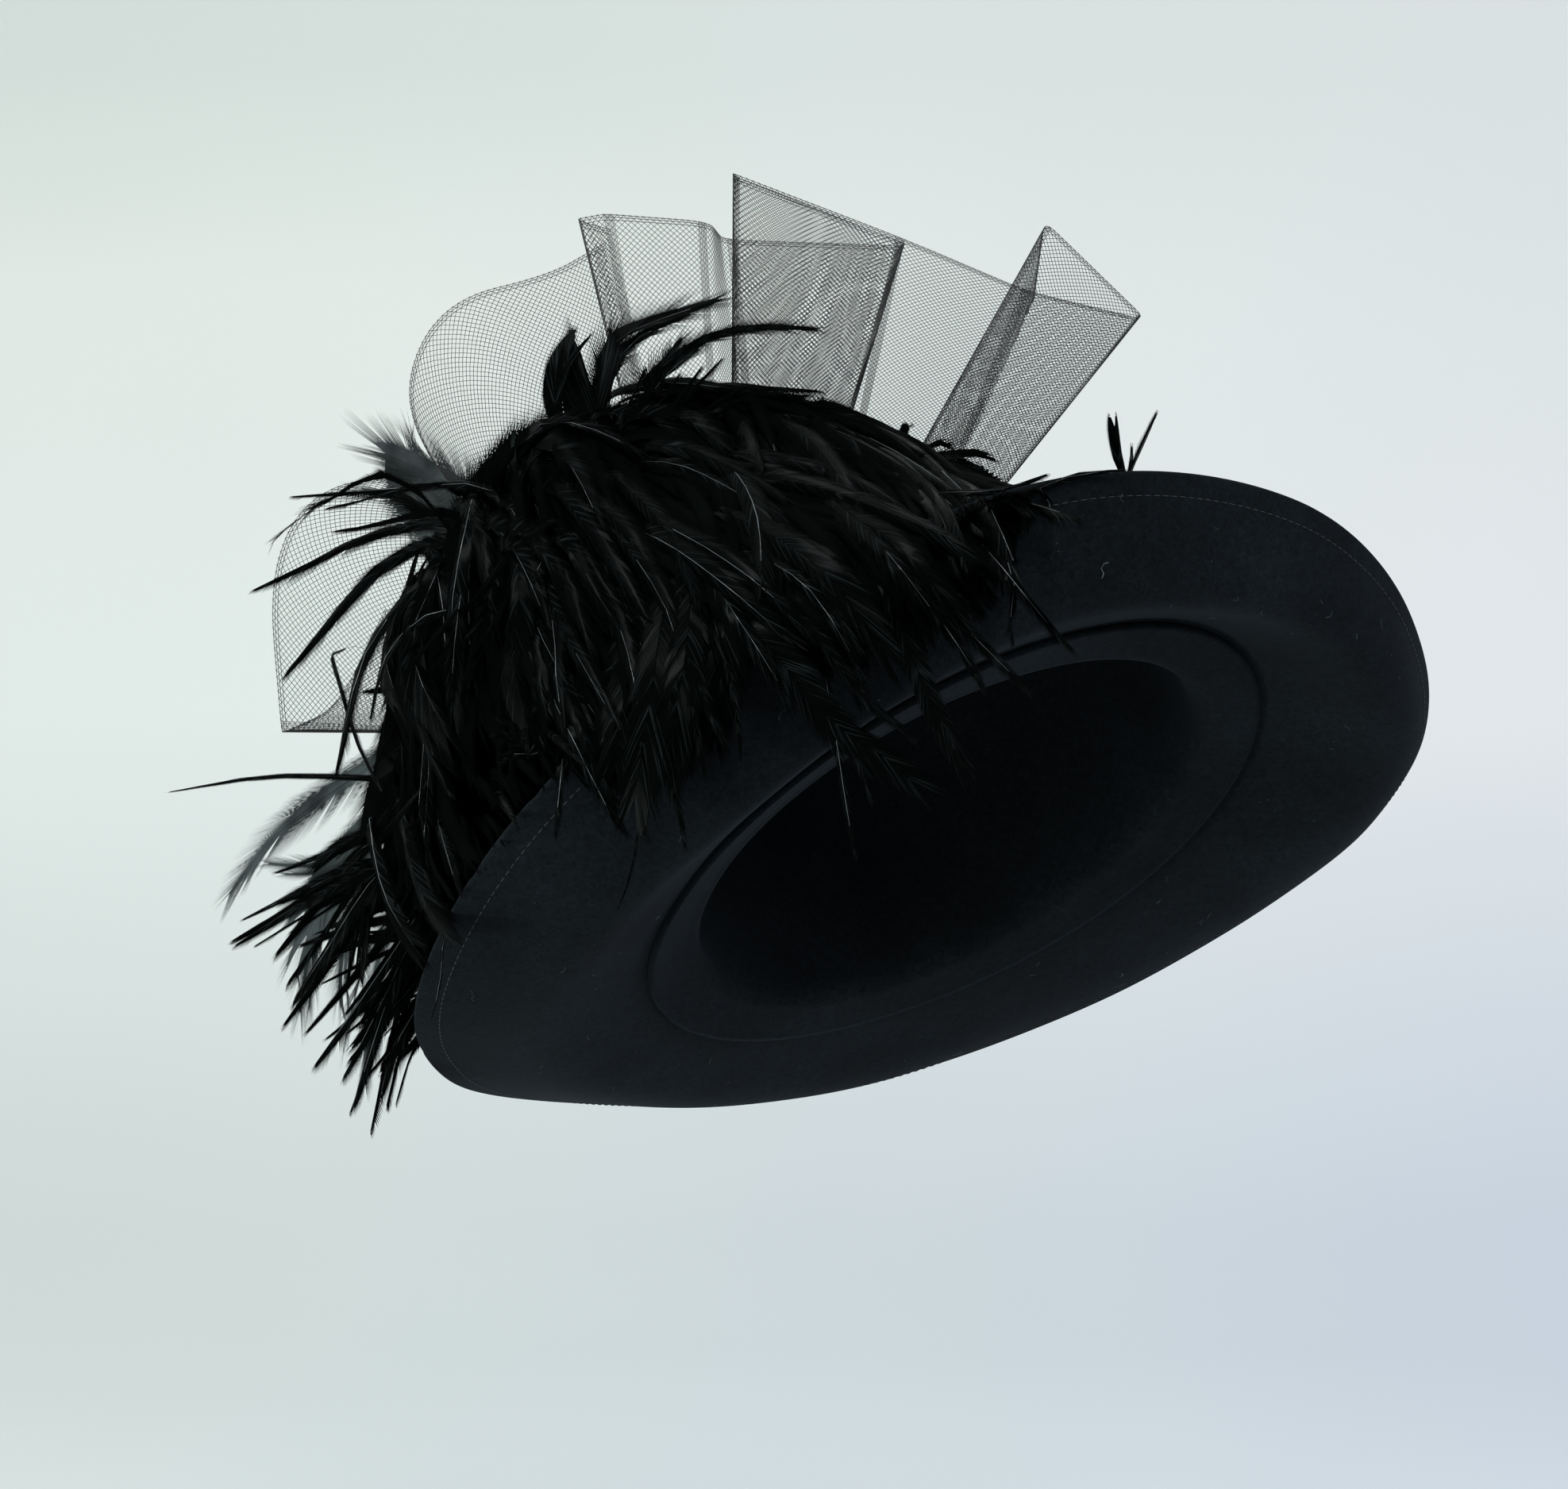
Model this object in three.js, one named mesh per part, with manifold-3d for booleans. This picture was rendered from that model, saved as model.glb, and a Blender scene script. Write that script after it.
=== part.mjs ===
// A black felt wide-brim hat at the steep tilt it is worn at, with cock feathers and a pleated net band.
// Millimetres, +Z up. The origin is the centre of the head opening.
// +X is the hat's front and -Y its right side, where the brim turns up and the feathers lie.
import * as THREE from 'three';
import { mergeVertices } from 'three/addons/utils/BufferGeometryUtils.js';
import Module from 'manifold-3d';

const wasm = await Module();
wasm.setup();

// Felt body
const FELT = 2.4;
const SEAM_GAP = 0.3;
const HEAD_HALF_LENGTH = 104;
const HEAD_HALF_WIDTH = 85;
const CROWN_HEIGHT = 138;
const CROWN_SQUARENESS = 2.6;
const COLLAR_WIDTH = 26;
const COLLAR_ROUND = 7;
const LAP = 6;
const LAP_CLEAR = 1.8;
const HEM_WIDTH = 6.5;
const HEM_THICK = 3.2;

// The tilt that the hat is worn at, in degrees
const FRONT_UP = 29;
const RIGHT_UP = 28.3;
const TURN = 1;

// Mesh divisions
const AROUND = 40;
const DOME_ROWS = 6;
const BRIM_ROWS_ACROSS = 8;

// The brim, a row for each twelfth of the way round from the front past the right side.
// Slopes are in degrees against the opening's plane; lengths run along the underside from the seam.
const BRIM = [
  { at: 0, inner: -47, outer: 51, bend: 52, width: 79, seam: -1.5, opening: 0.4 },
  { at: 30, inner: -40, outer: 49, bend: 44, width: 82, seam: -0.7, opening: 1.4 },
  { at: 60, inner: -29, outer: 56, bend: 40, width: 85, seam: -2.3, opening: 1.9 },
  { at: 90, inner: -30, outer: 63, bend: 39, width: 88, seam: -5.5, opening: 1.9 },
  { at: 120, inner: -31, outer: 48, bend: 38, width: 90, seam: -7.8, opening: 1.3 },
  { at: 150, inner: -19, outer: 26, bend: 39, width: 90, seam: -7.1, opening: 0.3 },
  { at: 180, inner: -4, outer: 27, bend: 41, width: 88, seam: -3.8, opening: -0.8 },
  { at: 210, inner: 0, outer: 40, bend: 45, width: 85, seam: -0.7, opening: -1.8 },
  { at: 240, inner: -1, outer: 35, bend: 53, width: 82, seam: 0, opening: -2.3 },
  { at: 270, inner: -1, outer: 20, bend: 60, width: 79, seam: -1.5, opening: -2.3 },
  { at: 300, inner: -11, outer: 24, bend: 62, width: 78, seam: -3.2, opening: -1.7 },
  { at: 330, inner: -33, outer: 43, bend: 59, width: 78, seam: -3.1, opening: -0.7 },
];
// The bend is tight where the brim turns up on the right and soft on the far side.
const BEND_TIGHT = 16;
const BEND_SOFT = 34;
const BEND_TIGHTEST_AT = 100;

// The net band, from its raw end at the front to the loops at the back. Its lower edge follows the
// crown, at an angle around it and a rise over it in degrees; its upper edge is a place in millimetres.
// The share is how much of the panels beside a fold the fold rounds off; a turn is how far the band
// steps back (+) or forward (-) in the fold.
const NET = 1;
const NET_SEAT = 0.52;
const RISE_PER_TURN = 0.5;
const NET_FAN = [
  { around: 31, rise: 52, top: [31, 30, 208], share: 0, turn: 0 },
  { around: 44, rise: 62, top: [36, 66, 244], share: 0.12, turn: 0 },
  { around: 20, rise: 45, top: [75, 40, 201], share: 0.12, turn: 0 },
  { around: 36, rise: 50, top: [28, 21, 210], share: 0.2, turn: 0 },
  { around: 62, rise: 64, top: [-19, 18, 230], share: 0.3, turn: 0 },
  { around: 118, rise: 67, top: [-85, 22, 256], share: 0.05, turn: 6 },
  { around: 68, rise: 74, top: [-19, 33, 230], share: 0.05, turn: 7 },
  { around: 116, rise: 80, top: [-90, 44, 234], share: 0.2, turn: 0 },
  { around: 123, rise: 66, top: [-94, 17, 237], share: 0.3, turn: 0 },
  { around: 146, rise: 58, top: [-134, 15, 240], share: 0.2, turn: 0 },
  { around: 152, rise: 60, top: [-146, 22, 239], share: 0.2, turn: 0 },
  { around: 142, rise: 66, top: [-133, 36, 237], share: 0, turn: 0 },
];
const NET_LOOPS = [
  { around: 146, rise: 67, top: [-136, 42, 233], share: 0, turn: 0 },
  { around: 150, rise: 64, top: [-160, 66, 224], share: 0.4, turn: 0 },
  { around: 154, rise: 62, top: [-206, 84, 216], share: 0.5, turn: 0 },
  { around: 158, rise: 58, top: [-224, 90, 180], share: 0.5, turn: 0 },
  { around: 161, rise: 55, top: [-205, 82, 142], share: 0.5, turn: 0 },
  { around: 164, rise: 52, top: [-190, 58, 138], share: 0.5, turn: 0 },
  { around: 167, rise: 50, top: [-244, 50, 144], share: 0.5, turn: 0 },
  { around: 172, rise: 46, top: [-272, 58, 112], share: 0.5, turn: 0 },
  { around: 178, rise: 42, top: [-266, 62, 42], share: 0.12, turn: 4 },
  { around: 180, rise: 52, top: [-246, 74, 52], share: 0.4, turn: 0 },
  { around: 182, rise: 60, top: [-228, 82, 92], share: 0, turn: 0 },
];
const NET_STEPS_PER_FOLD = 2;
const NET_STEPS_PER_PANEL = 3;
const NET_ROWS_UP = 2;
const NET_LEAST_STEP = 0.6;

// Feather tufts. Roots lie on the crown, at an angle and a rise; tips are places in millimetres. A tuft
// spreads its locks evenly over the stops from its first root and tip to its last. Lift is how far a lock
// stands off the crown before it falls. Where it hangs over the brim, over gives the angles of the edge
// that it crosses, and where it arches high, through gives the tops of the arch. Mat is the share of
// their length over which the feathers lie together as one layer.
const SIDE_TUFTS = [
  { name: 'drape', roots: [[50, 32], [84, 34], [118, 34], [154, 36]],
    tips: [[36, -134, 92], [-30, -154, 58], [-100, -158, 20], [-180, -132, -32]],
    count: 12, lift: 42, width: 19, mat: 0.84, over: [58, 86, 116, 142] },
  { name: 'fringe', roots: [[66, 36], [98, 36], [132, 34]],
    tips: [[26, -150, 50], [-30, -160, 6], [-112, -158, -26]],
    count: 7, lift: 50, width: 14, mat: 0, over: [66, 92, 122] },
  { name: 'crest', roots: [[104, 45], [50, 38]], tips: [[-60, -12, 160], [28, -60, 128]],
    count: 4, lift: 30, width: 28, mat: 0 },
  { name: 'top', roots: [[146, 43], [112, 46]], tips: [[-112, -30, 168], [-70, -22, 168]],
    count: 3, lift: 44, width: 22, mat: 0 },
  { name: 'shoulder', roots: [[132, 44], [156, 42]], tips: [[-150, -110, 92], [-196, -70, 40]],
    count: 3, lift: 52, width: 28, mat: 0 },
  { name: 'curl', roots: [[140, 46], [154, 44]], tips: [[-112, -104, 84], [-172, -86, 40]],
    through: [[-138, -38, 140], [-166, -46, 112]], count: 3, lift: 40, width: 26, mat: 0 },
  { name: 'arch', roots: [[154, 46], [158, 44]], tips: [[-242, -8, 124], [-258, -8, 112]],
    through: [[-172, -28, 130], [-192, -40, 114]], count: 2, lift: 40, width: 18, mat: 0 },
  { name: 'wisp',roots: [[134, 45], [130, 45]], tips: [[-89, -6, 204], [-54, -8, 192]],
    count: 2, lift: 40, width: 8, mat: 0 },
  { name: 'upright', roots: [[148, 44], [149, 44]], tips: [[-148, -22, 187], [-152, -26, 180]],
    count: 1, lift: 40, width: 9, mat: 0 },
];
const BACK_TUFTS = [
  { name: 'spray', roots: [[172, 31], [178, 28]], tips: [[-241, -8, 120], [-260, -28, 92]],
    count: 2, lift: 36, width: 10, mat: 0 },
  { name: 'spray_low', roots: [[172, 26], [178, 22]], tips: [[-247, -34, 62], [-229, -20, 31]],
    count: 2, lift: 38, width: 10, mat: 0 },
  { name: 'hang', roots: [[172, 14], [190, 14], [214, 16]],
    tips: [[-208, -42, -76], [-258, -8, -44], [-196, 90, -52]],
    count: 6, lift: 44, width: 17, mat: 0.7 },
  { name: 'long', roots: [[180, 20], [184, 22]], tips: [[-298, 0, 17], [-286, 56, -24]],
    count: 2, lift: 30, width: 9, mat: 0 },
  { name: 'far', roots: [[196, 31], [204, 32]], tips: [[-222, 112, 112], [-208, 116, 132]],
    count: 2, lift: 26, width: 16, mat: 0 },
];
const SPRIG_TUFTS = [
  { name: 'stem', roots: [[22, 26], [24, 26]], tips: [[62, 6, 160], [78, 6, 162]],
    count: 2, lift: 26, width: 4, mat: 0 },
];
const LOCK_SHARES = [0.6, 1, 0.95, 0.6, 0.1];
const LOCK_LEAST_HALF_WIDTH = 0.8;
const LOCK_LEAST_HALF_THICK = 0.7;
const LOCK_FLATNESS = 0.3;
const LOCK_FALL = 0.55;
const LOCK_ARCH = 0.25;
const ROOT_DEPTH = 2;
const MAT_HOLD = 0.15;
const MAT_THICK = 9;
const MAT_EDGE_THICK = 3;
const MAT_STEPS_ALONG = 4;
const MAT_COLUMNS_PER_LOCK = 0.6;

// The pads that the locks grow from: where they lie round and up the crown, and how thick they swell.
const SIDE_PAD = { from: 42, to: 162, low: 9, high: 48, thin: 4, swell: 22, leastSwell: 0.3, across: 10, up: 4 };
const BACK_PAD = { from: 166, to: 220, low: 9, high: 36, thin: 4, swell: 18, leastSwell: 0.3, across: 5, up: 3 };
const SPRIG_PAD = { from: 18, to: 28, low: 22, high: 30, thin: 3, swell: 3, leastSwell: 1, across: 2, up: 2 };
const PAD_SEAT = 0.7;
const CLEARANCE = 0.35;
const PLAINER = 0.7;
const LEAST_EDGE = 0.1;
const EDGE_CLEAR = [0, -6, 10];

const rad = THREE.MathUtils.degToRad;
const vec = (x, y, z) => new THREE.Vector3(x, y, z);

// The hat's own frame, turned into the tilt that it is worn at
const tilt = new THREE.Matrix4().makeRotationFromEuler(
  new THREE.Euler(-rad(RIGHT_UP), -rad(FRONT_UP), rad(TURN), 'YXZ'));

// One column of the brim table at any angle, as a smooth curve through its rows
function brimAt(degrees, column) {
  const count = BRIM.length;
  const place = (((degrees % 360) + 360) % 360) / (360 / count);
  const i = Math.floor(place);
  const t = place - i;
  const [a, b, c, d] = [-1, 0, 1, 2].map((k) => BRIM[(i + k + count) % count][column]);
  const bow = (2 * a - 5 * b + 4 * c - d) * t * t + (3 * b - a - 3 * c + d) * t * t * t;
  return b + 0.5 * ((c - a) * t + bow);
}

// The point of the head opening's ellipse at an angle, and the way out from it
function openingAt(degrees) {
  const a = rad(degrees);
  const edge = vec(HEAD_HALF_LENGTH * Math.cos(a), -HEAD_HALF_WIDTH * Math.sin(a), 0);
  const out = vec(HEAD_HALF_WIDTH * Math.cos(a), -HEAD_HALF_LENGTH * Math.sin(a), 0).normalize();
  return { edge, out };
}

// A closed felt wall round the hat. Each row is the same step of the section; at(degrees, row) gives its
// inner and outer points, and an apex, where there is one, closes both faces at the top.
function wallAround(rows, at, apex = null) {
  const positions = [];
  const index = [];
  const side = rows * AROUND;
  const pairs = [];
  for (let k = 0; k < rows; k += 1) {
    for (let j = 0; j < AROUND; j += 1) pairs.push(at((360 * j) / AROUND, k));
  }
  pairs.forEach((pair) => positions.push(...pair[0].toArray()));
  pairs.forEach((pair) => positions.push(...pair[1].toArray()));
  const quad = (a, b, c, d) => index.push(a, b, c, a, c, d);
  for (let j = 0; j < AROUND; j += 1) {
    const next = (j + 1) % AROUND;
    for (let k = 0; k + 1 < rows; k += 1) {
      const [p, q, r, s] = [k * AROUND + j, k * AROUND + next, (k + 1) * AROUND + next, (k + 1) * AROUND + j];
      quad(p, q, r, s);
      quad(side + p, side + s, side + r, side + q);
    }
    quad(next, j, side + j, side + next);
    const last = (rows - 1) * AROUND;
    if (!apex) quad(last + j, last + next, side + last + next, side + last + j);
  }
  if (apex) {
    const [inner, outer] = [2 * side, 2 * side + 1];
    positions.push(...apex[0].toArray(), ...apex[1].toArray());
    const last = (rows - 1) * AROUND;
    for (let j = 0; j < AROUND; j += 1) {
      const next = (j + 1) % AROUND;
      index.push(last + j, last + next, inner);
      index.push(side + last + next, side + last + j, outer);
    }
  }
  return solidGeometry(positions, index);
}

// A geometry from points and triangles, turned right way out if its volume comes out negative
function solidGeometry(positions, index) {
  let volume = 0;
  for (let i = 0; i < index.length; i += 3) {
    const [a, b, c] = [0, 1, 2].map((k) => vec(...positions.slice(3 * index[i + k], 3 * index[i + k] + 3)));
    volume += a.dot(b.cross(c)) / 6;
  }
  if (volume < 0) {
    for (let i = 0; i < index.length; i += 3) [index[i], index[i + 1]] = [index[i + 1], index[i]];
  }
  const geometry = new THREE.BufferGeometry();
  geometry.setAttribute('position', new THREE.Float32BufferAttribute(positions, 3));
  geometry.setIndex(index);
  return geometry;
}

// A section drawn as a walk outwards, each step { out, up } with the slope of the wall there; the wall's
// second face lies its thickness away, square to the slope.
function sectionPoint(degrees, step, thickness, sink) {
  const { edge, out } = openingAt(degrees);
  const slope = step.slope;
  const place = (away) => edge.clone()
    .addScaledVector(out, step.out - away * Math.sin(slope))
    .add(vec(0, 0, step.up + away * Math.cos(slope)));
  return [place(-sink), place(thickness + sink)];
}

// The collar's underside: flat out from the rounded opening edge, then down or up to the seam
function collarUp(degrees, out) {
  const share = THREE.MathUtils.clamp((out - COLLAR_ROUND) / (COLLAR_WIDTH - COLLAR_ROUND), 0, 1);
  const seam = brimAt(degrees, 'seam') - (FELT + SEAM_GAP) / 2;
  return brimAt(degrees, 'opening') + share * seam;
}

function collarSlope(degrees) {
  const drop = brimAt(degrees, 'seam') - (FELT + SEAM_GAP) / 2;
  return Math.atan2(drop, COLLAR_WIDTH - COLLAR_ROUND);
}

// A point of the crown's inner face at a rise of 0 to 90 degrees, or of a face further out
function crownPoint(degrees, rise, away = 0) {
  const a = rad(degrees);
  const spread = Math.cos(rad(rise)) ** (2 / CROWN_SQUARENESS);
  const lift = Math.sin(rad(rise)) ** (2 / CROWN_SQUARENESS);
  return vec(
    (HEAD_HALF_LENGTH + away) * spread * Math.cos(a),
    -(HEAD_HALF_WIDTH + away) * spread * Math.sin(a),
    (CROWN_HEIGHT + away) * lift);
}

// The crown: a round-topped bowl whose foot rolls out into a flat collar. Grown by sink on both faces,
// it is the space that the trimming keeps clear of.
function crownGeometry(sink = 0) {
  const steps = [];
  steps.push({ out: COLLAR_WIDTH - LAP_CLEAR + sink });
  steps.push({ out: (COLLAR_WIDTH + COLLAR_ROUND) / 2 });
  for (const turn of [0, 30, 60]) {
    steps.push({ out: COLLAR_ROUND * (1 - Math.sin(rad(turn))), roll: turn });
  }
  for (let k = 0; k < DOME_ROWS; k += 1) {
    const height = COLLAR_ROUND / CROWN_HEIGHT;
    const up = height + (1 - height) * Math.sin(rad((90 * k) / DOME_ROWS));
    steps.push({ rise: THREE.MathUtils.radToDeg(Math.asin(up ** (CROWN_SQUARENESS / 2))) });
  }
  const at = (degrees, k) => {
    const step = steps[k];
    if (step.rise !== undefined) {
      return [crownPoint(degrees, step.rise, -sink), crownPoint(degrees, step.rise, FELT + sink)];
    }
    const rolled = step.roll ?? 0;
    const up = collarUp(degrees, step.out) + COLLAR_ROUND * (1 - Math.cos(rad(rolled)));
    const slope = rolled > 0 ? -rad(rolled) : collarSlope(degrees);
    return sectionPoint(degrees, { out: step.out, up, slope }, FELT, sink);
  };
  const apex = [vec(0, 0, CROWN_HEIGHT - sink), vec(0, 0, CROWN_HEIGHT + FELT + sink)];
  return wallAround(steps.length, at, apex);
}

// The brim's underside from the lap over the collar to the edge, by summing the slope along it
function brimSection(degrees) {
  const [inner, outer] = [rad(brimAt(degrees, 'inner')), rad(brimAt(degrees, 'outer'))];
  const [bend, width] = [brimAt(degrees, 'bend'), brimAt(degrees, 'width')];
  const near = 0.5 + 0.5 * Math.cos(rad(degrees - BEND_TIGHTEST_AT));
  const bendLength = BEND_TIGHT + BEND_SOFT * (1 - near) ** 0.7;
  const slopeAt = (s) => inner + (outer - inner) * THREE.MathUtils.smoothstep(s, bend - bendLength / 2, bend + bendLength / 2);
  const steps = [];
  const lapSlope = collarSlope(degrees);
  const above = (FELT + SEAM_GAP) / Math.cos(lapSlope);
  for (const out of [COLLAR_WIDTH - LAP, COLLAR_WIDTH]) {
    steps.push({ out, up: collarUp(degrees, out) + above, slope: lapSlope });
  }
  const fine = 8;
  const total = BRIM_ROWS_ACROSS * fine;
  let { out, up } = steps[1];
  for (let i = 1; i <= total; i += 1) {
    const length = (width - HEM_WIDTH) / total;
    const slope = slopeAt((i - 0.5) * length);
    out += length * Math.cos(slope);
    up += length * Math.sin(slope);
    if (i % fine === 0) steps.push({ out, up, slope: slopeAt(i * length) });
  }
  const last = steps[steps.length - 1];
  for (const along of [0.8, HEM_WIDTH - 1, HEM_WIDTH]) {
    steps.push({
      out: last.out + along * Math.cos(last.slope),
      up: last.up + along * Math.sin(last.slope),
      slope: last.slope,
      hem: along,
    });
  }
  return steps;
}

// The brim: dips from the seam, then rolls up to a stitched hem that is a little thicker
function brimGeometry(sink = 0) {
  const sections = new Map();
  const rows = brimSection(0).length;
  const at = (degrees, k) => {
    if (!sections.has(degrees)) sections.set(degrees, brimSection(degrees));
    const step = { ...sections.get(degrees)[k] };
    const first = k === 0;
    const end = k === rows - 1;
    if (first) step.out -= sink;
    if (end) step.out += sink * Math.cos(step.slope);
    if (end) step.up += sink * Math.sin(step.slope);
    const thickness = step.hem ? HEM_THICK : FELT;
    if (!end) return sectionPoint(degrees, step, thickness, sink);
    const rounded = sectionPoint(degrees, step, thickness, sink);
    return [0.3, 0.7].map((share) => rounded[0].clone().lerp(rounded[1], share));
  };
  return wallAround(rows, at);
}

// Solids for joining and cutting
function toSolid(geometry) {
  const bare = new THREE.BufferGeometry();
  bare.setAttribute('position', geometry.getAttribute('position').clone());
  bare.setIndex(geometry.getIndex().clone());
  const merged = mergeVertices(bare, 1e-4);
  return new wasm.Manifold(new wasm.Mesh({
    numProp: 3,
    vertProperties: new Float32Array(merged.getAttribute('position').array),
    triVerts: new Uint32Array(merged.getIndex().array),
  }));
}

function fromSolid(solid) {
  const mesh = solid.getMesh();
  const geometry = new THREE.BufferGeometry();
  geometry.setAttribute('position', new THREE.Float32BufferAttribute(mesh.vertProperties, 3));
  geometry.setIndex(Array.from(mesh.triVerts));
  return geometry;
}

// A closed sheet between two grids of points, rows of equal length, one behind the other
function sheetGeometry(front, back) {
  const rows = front.length;
  const columns = front[0].length;
  const positions = [];
  const index = [];
  for (const grid of [front, back]) {
    grid.forEach((row) => row.forEach((p) => positions.push(...p.toArray())));
  }
  const at = (side, r, c) => side * rows * columns + r * columns + c;
  const quad = (a, b, c, d) => index.push(a, b, c, a, c, d);
  for (let r = 0; r + 1 < rows; r += 1) {
    for (let c = 0; c + 1 < columns; c += 1) {
      quad(at(0, r, c), at(0, r, c + 1), at(0, r + 1, c + 1), at(0, r + 1, c));
      quad(at(1, r, c), at(1, r + 1, c), at(1, r + 1, c + 1), at(1, r, c + 1));
    }
  }
  for (let c = 0; c + 1 < columns; c += 1) {
    quad(at(0, 0, c + 1), at(0, 0, c), at(1, 0, c), at(1, 0, c + 1));
    quad(at(0, rows - 1, c), at(0, rows - 1, c + 1), at(1, rows - 1, c + 1), at(1, rows - 1, c));
  }
  for (let r = 0; r + 1 < rows; r += 1) {
    quad(at(0, r, 0), at(0, r + 1, 0), at(1, r + 1, 0), at(1, r, 0));
    quad(at(0, r + 1, columns - 1), at(0, r, columns - 1), at(1, r, columns - 1), at(1, r + 1, columns - 1));
  }
  return solidGeometry(positions, index);
}

// A place on the band between two others: its lower edge stays on the crown
function netBetween(a, b, share) {
  return {
    around: THREE.MathUtils.lerp(a.around, b.around, share),
    rise: THREE.MathUtils.lerp(a.rise, b.rise, share),
    top: a.top.clone().lerp(b.top, share),
  };
}

// The places along the band, panel by panel, with each fold rounded. A turning fold is two half folds.
function netLine(table) {
  const folds = [];
  for (const row of table) {
    for (const step of row.turn === 0 ? [0] : [-row.turn / 2, row.turn / 2]) {
      const rise = row.rise + step * RISE_PER_TURN;
      folds.push({ around: row.around, rise, top: vec(...row.top).add(vec(0, step, 0)), row });
    }
  }
  const line = [folds[0]];
  folds.slice(1, -1).forEach((fold, i) => {
    const [before, after] = [folds[i], folds[i + 2]];
    const shareTo = (other) => (other.row === fold.row ? 0.5 : fold.row.share);
    const into = netBetween(fold, before, shareTo(before));
    const outOf = netBetween(fold, after, shareTo(after));
    const last = line[line.length - 1];
    for (let k = 1; k < NET_STEPS_PER_PANEL; k += 1) line.push(netBetween(last, into, k / NET_STEPS_PER_PANEL));
    for (let k = 0; k <= NET_STEPS_PER_FOLD; k += 1) {
      const t = k / NET_STEPS_PER_FOLD;
      line.push(netBetween(netBetween(into, fold, t), netBetween(fold, outOf, t), t));
    }
  });
  const last = line[line.length - 1];
  const end = folds[folds.length - 1];
  for (let k = 1; k <= NET_STEPS_PER_PANEL; k += 1) line.push(netBetween(last, end, k / NET_STEPS_PER_PANEL));
  return line.filter((p, i) => i === 0 || p.top.distanceTo(line[i - 1].top) > NET_LEAST_STEP);
}

// The pleated band: a stiff net, drawn here as one thin closed sheet
function netGeometry(table) {
  const middle = netLine(table).map(({ around, rise, top }) => {
    const foot = crownPoint(around, rise, FELT + NET_SEAT).applyMatrix4(tilt);
    const column = [];
    for (let k = 0; k <= NET_ROWS_UP; k += 1) column.push(foot.clone().lerp(top, k / NET_ROWS_UP));
    return column;
  });
  const offset = (away) => middle.map((column, i) => column.map((p, k) => {
    const along = middle[Math.min(i + 1, middle.length - 1)][k].clone().sub(middle[Math.max(i - 1, 0)][k]);
    const up = column[Math.min(k + 1, NET_ROWS_UP)].clone().sub(column[Math.max(k - 1, 0)]);
    const normal = along.cross(up).normalize();
    return p.clone().addScaledVector(normal, away);
  }));
  return sheetGeometry(offset(NET / 2), offset(-NET / 2));
}

// The pad under a run of feathers, following the crown and swelling in its middle
function padGeometry(pad) {
  const grid = (outer) => {
    const rows = [];
    for (let i = 0; i <= pad.across; i += 1) {
      const u = i / pad.across;
      const row = [];
      for (let k = 0; k <= pad.up; k += 1) {
        const v = k / pad.up;
        const bulge = Math.max(pad.leastSwell * Math.sin(Math.PI * v), Math.sin(Math.PI * u) * Math.sin(Math.PI * v));
        const thickness = outer ? pad.thin + pad.swell * bulge : 0;
        const degrees = THREE.MathUtils.lerp(pad.from, pad.to, u);
        const rise = THREE.MathUtils.lerp(pad.low, pad.high, v);
        row.push(crownPoint(degrees, rise, FELT + PAD_SEAT + thickness).applyMatrix4(tilt));
      }
      rows.push(row);
    }
    return rows;
  };
  return sheetGeometry(grid(true), grid(false));
}

// The place just outside the brim's edge that a hanging lock passes over
function overEdge(degrees) {
  const steps = brimSection(degrees);
  const step = steps[steps.length - 1];
  const { edge, out } = openingAt(degrees);
  return edge.addScaledVector(out, step.out).add(vec(0, 0, step.up)).applyMatrix4(tilt).add(vec(...EDGE_CLEAR));
}

// A value a share of the way through a list of evenly spaced stops
function between(stops, share) {
  const place = share * (stops.length - 1);
  const i = Math.min(Math.floor(place), stops.length - 2);
  return THREE.MathUtils.lerp(stops[i], stops[i + 1], place - i);
}

// The line of one feather of a tuft, a share of the way from its first to its last: it leaves the pad
// square to the crown, arches over and falls to its tip
function featherLine(tuft, share) {
  const blend = (rows, k) => between(rows.map((row) => row[k]), share);
  const place = (rows) => vec(blend(rows, 0), blend(rows, 1), blend(rows, 2));
  const onCrown = (away) => crownPoint(blend(tuft.roots, 0), blend(tuft.roots, 1), away).applyMatrix4(tilt);
  const root = onCrown(FELT + PAD_SEAT + ROOT_DEPTH);
  const away = onCrown(FELT + PAD_SEAT + 2 * ROOT_DEPTH).sub(root).normalize();
  const start = root.clone().addScaledVector(away, tuft.lift);
  const tip = place(tuft.tips);
  const across = tip.clone().sub(root).cross(away).normalize();
  if (tuft.over || tuft.through) {
    const middle = tuft.over ? overEdge(between(tuft.over, share)) : place(tuft.through);
    return { across, curve: new THREE.CatmullRomCurve3([root, start, middle, tip]) };
  }
  const end = start.clone().lerp(tip, LOCK_FALL).add(vec(0, 0, tuft.lift * LOCK_ARCH));
  return { across, curve: new THREE.CubicBezierCurve3(root, start, end, tip) };
}

// Square to a feather's line part of the way along it: the way through its flat side
function throughFeather(across, curve, t) {
  return across.clone().cross(curve.getTangent(t)).normalize();
}

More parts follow.
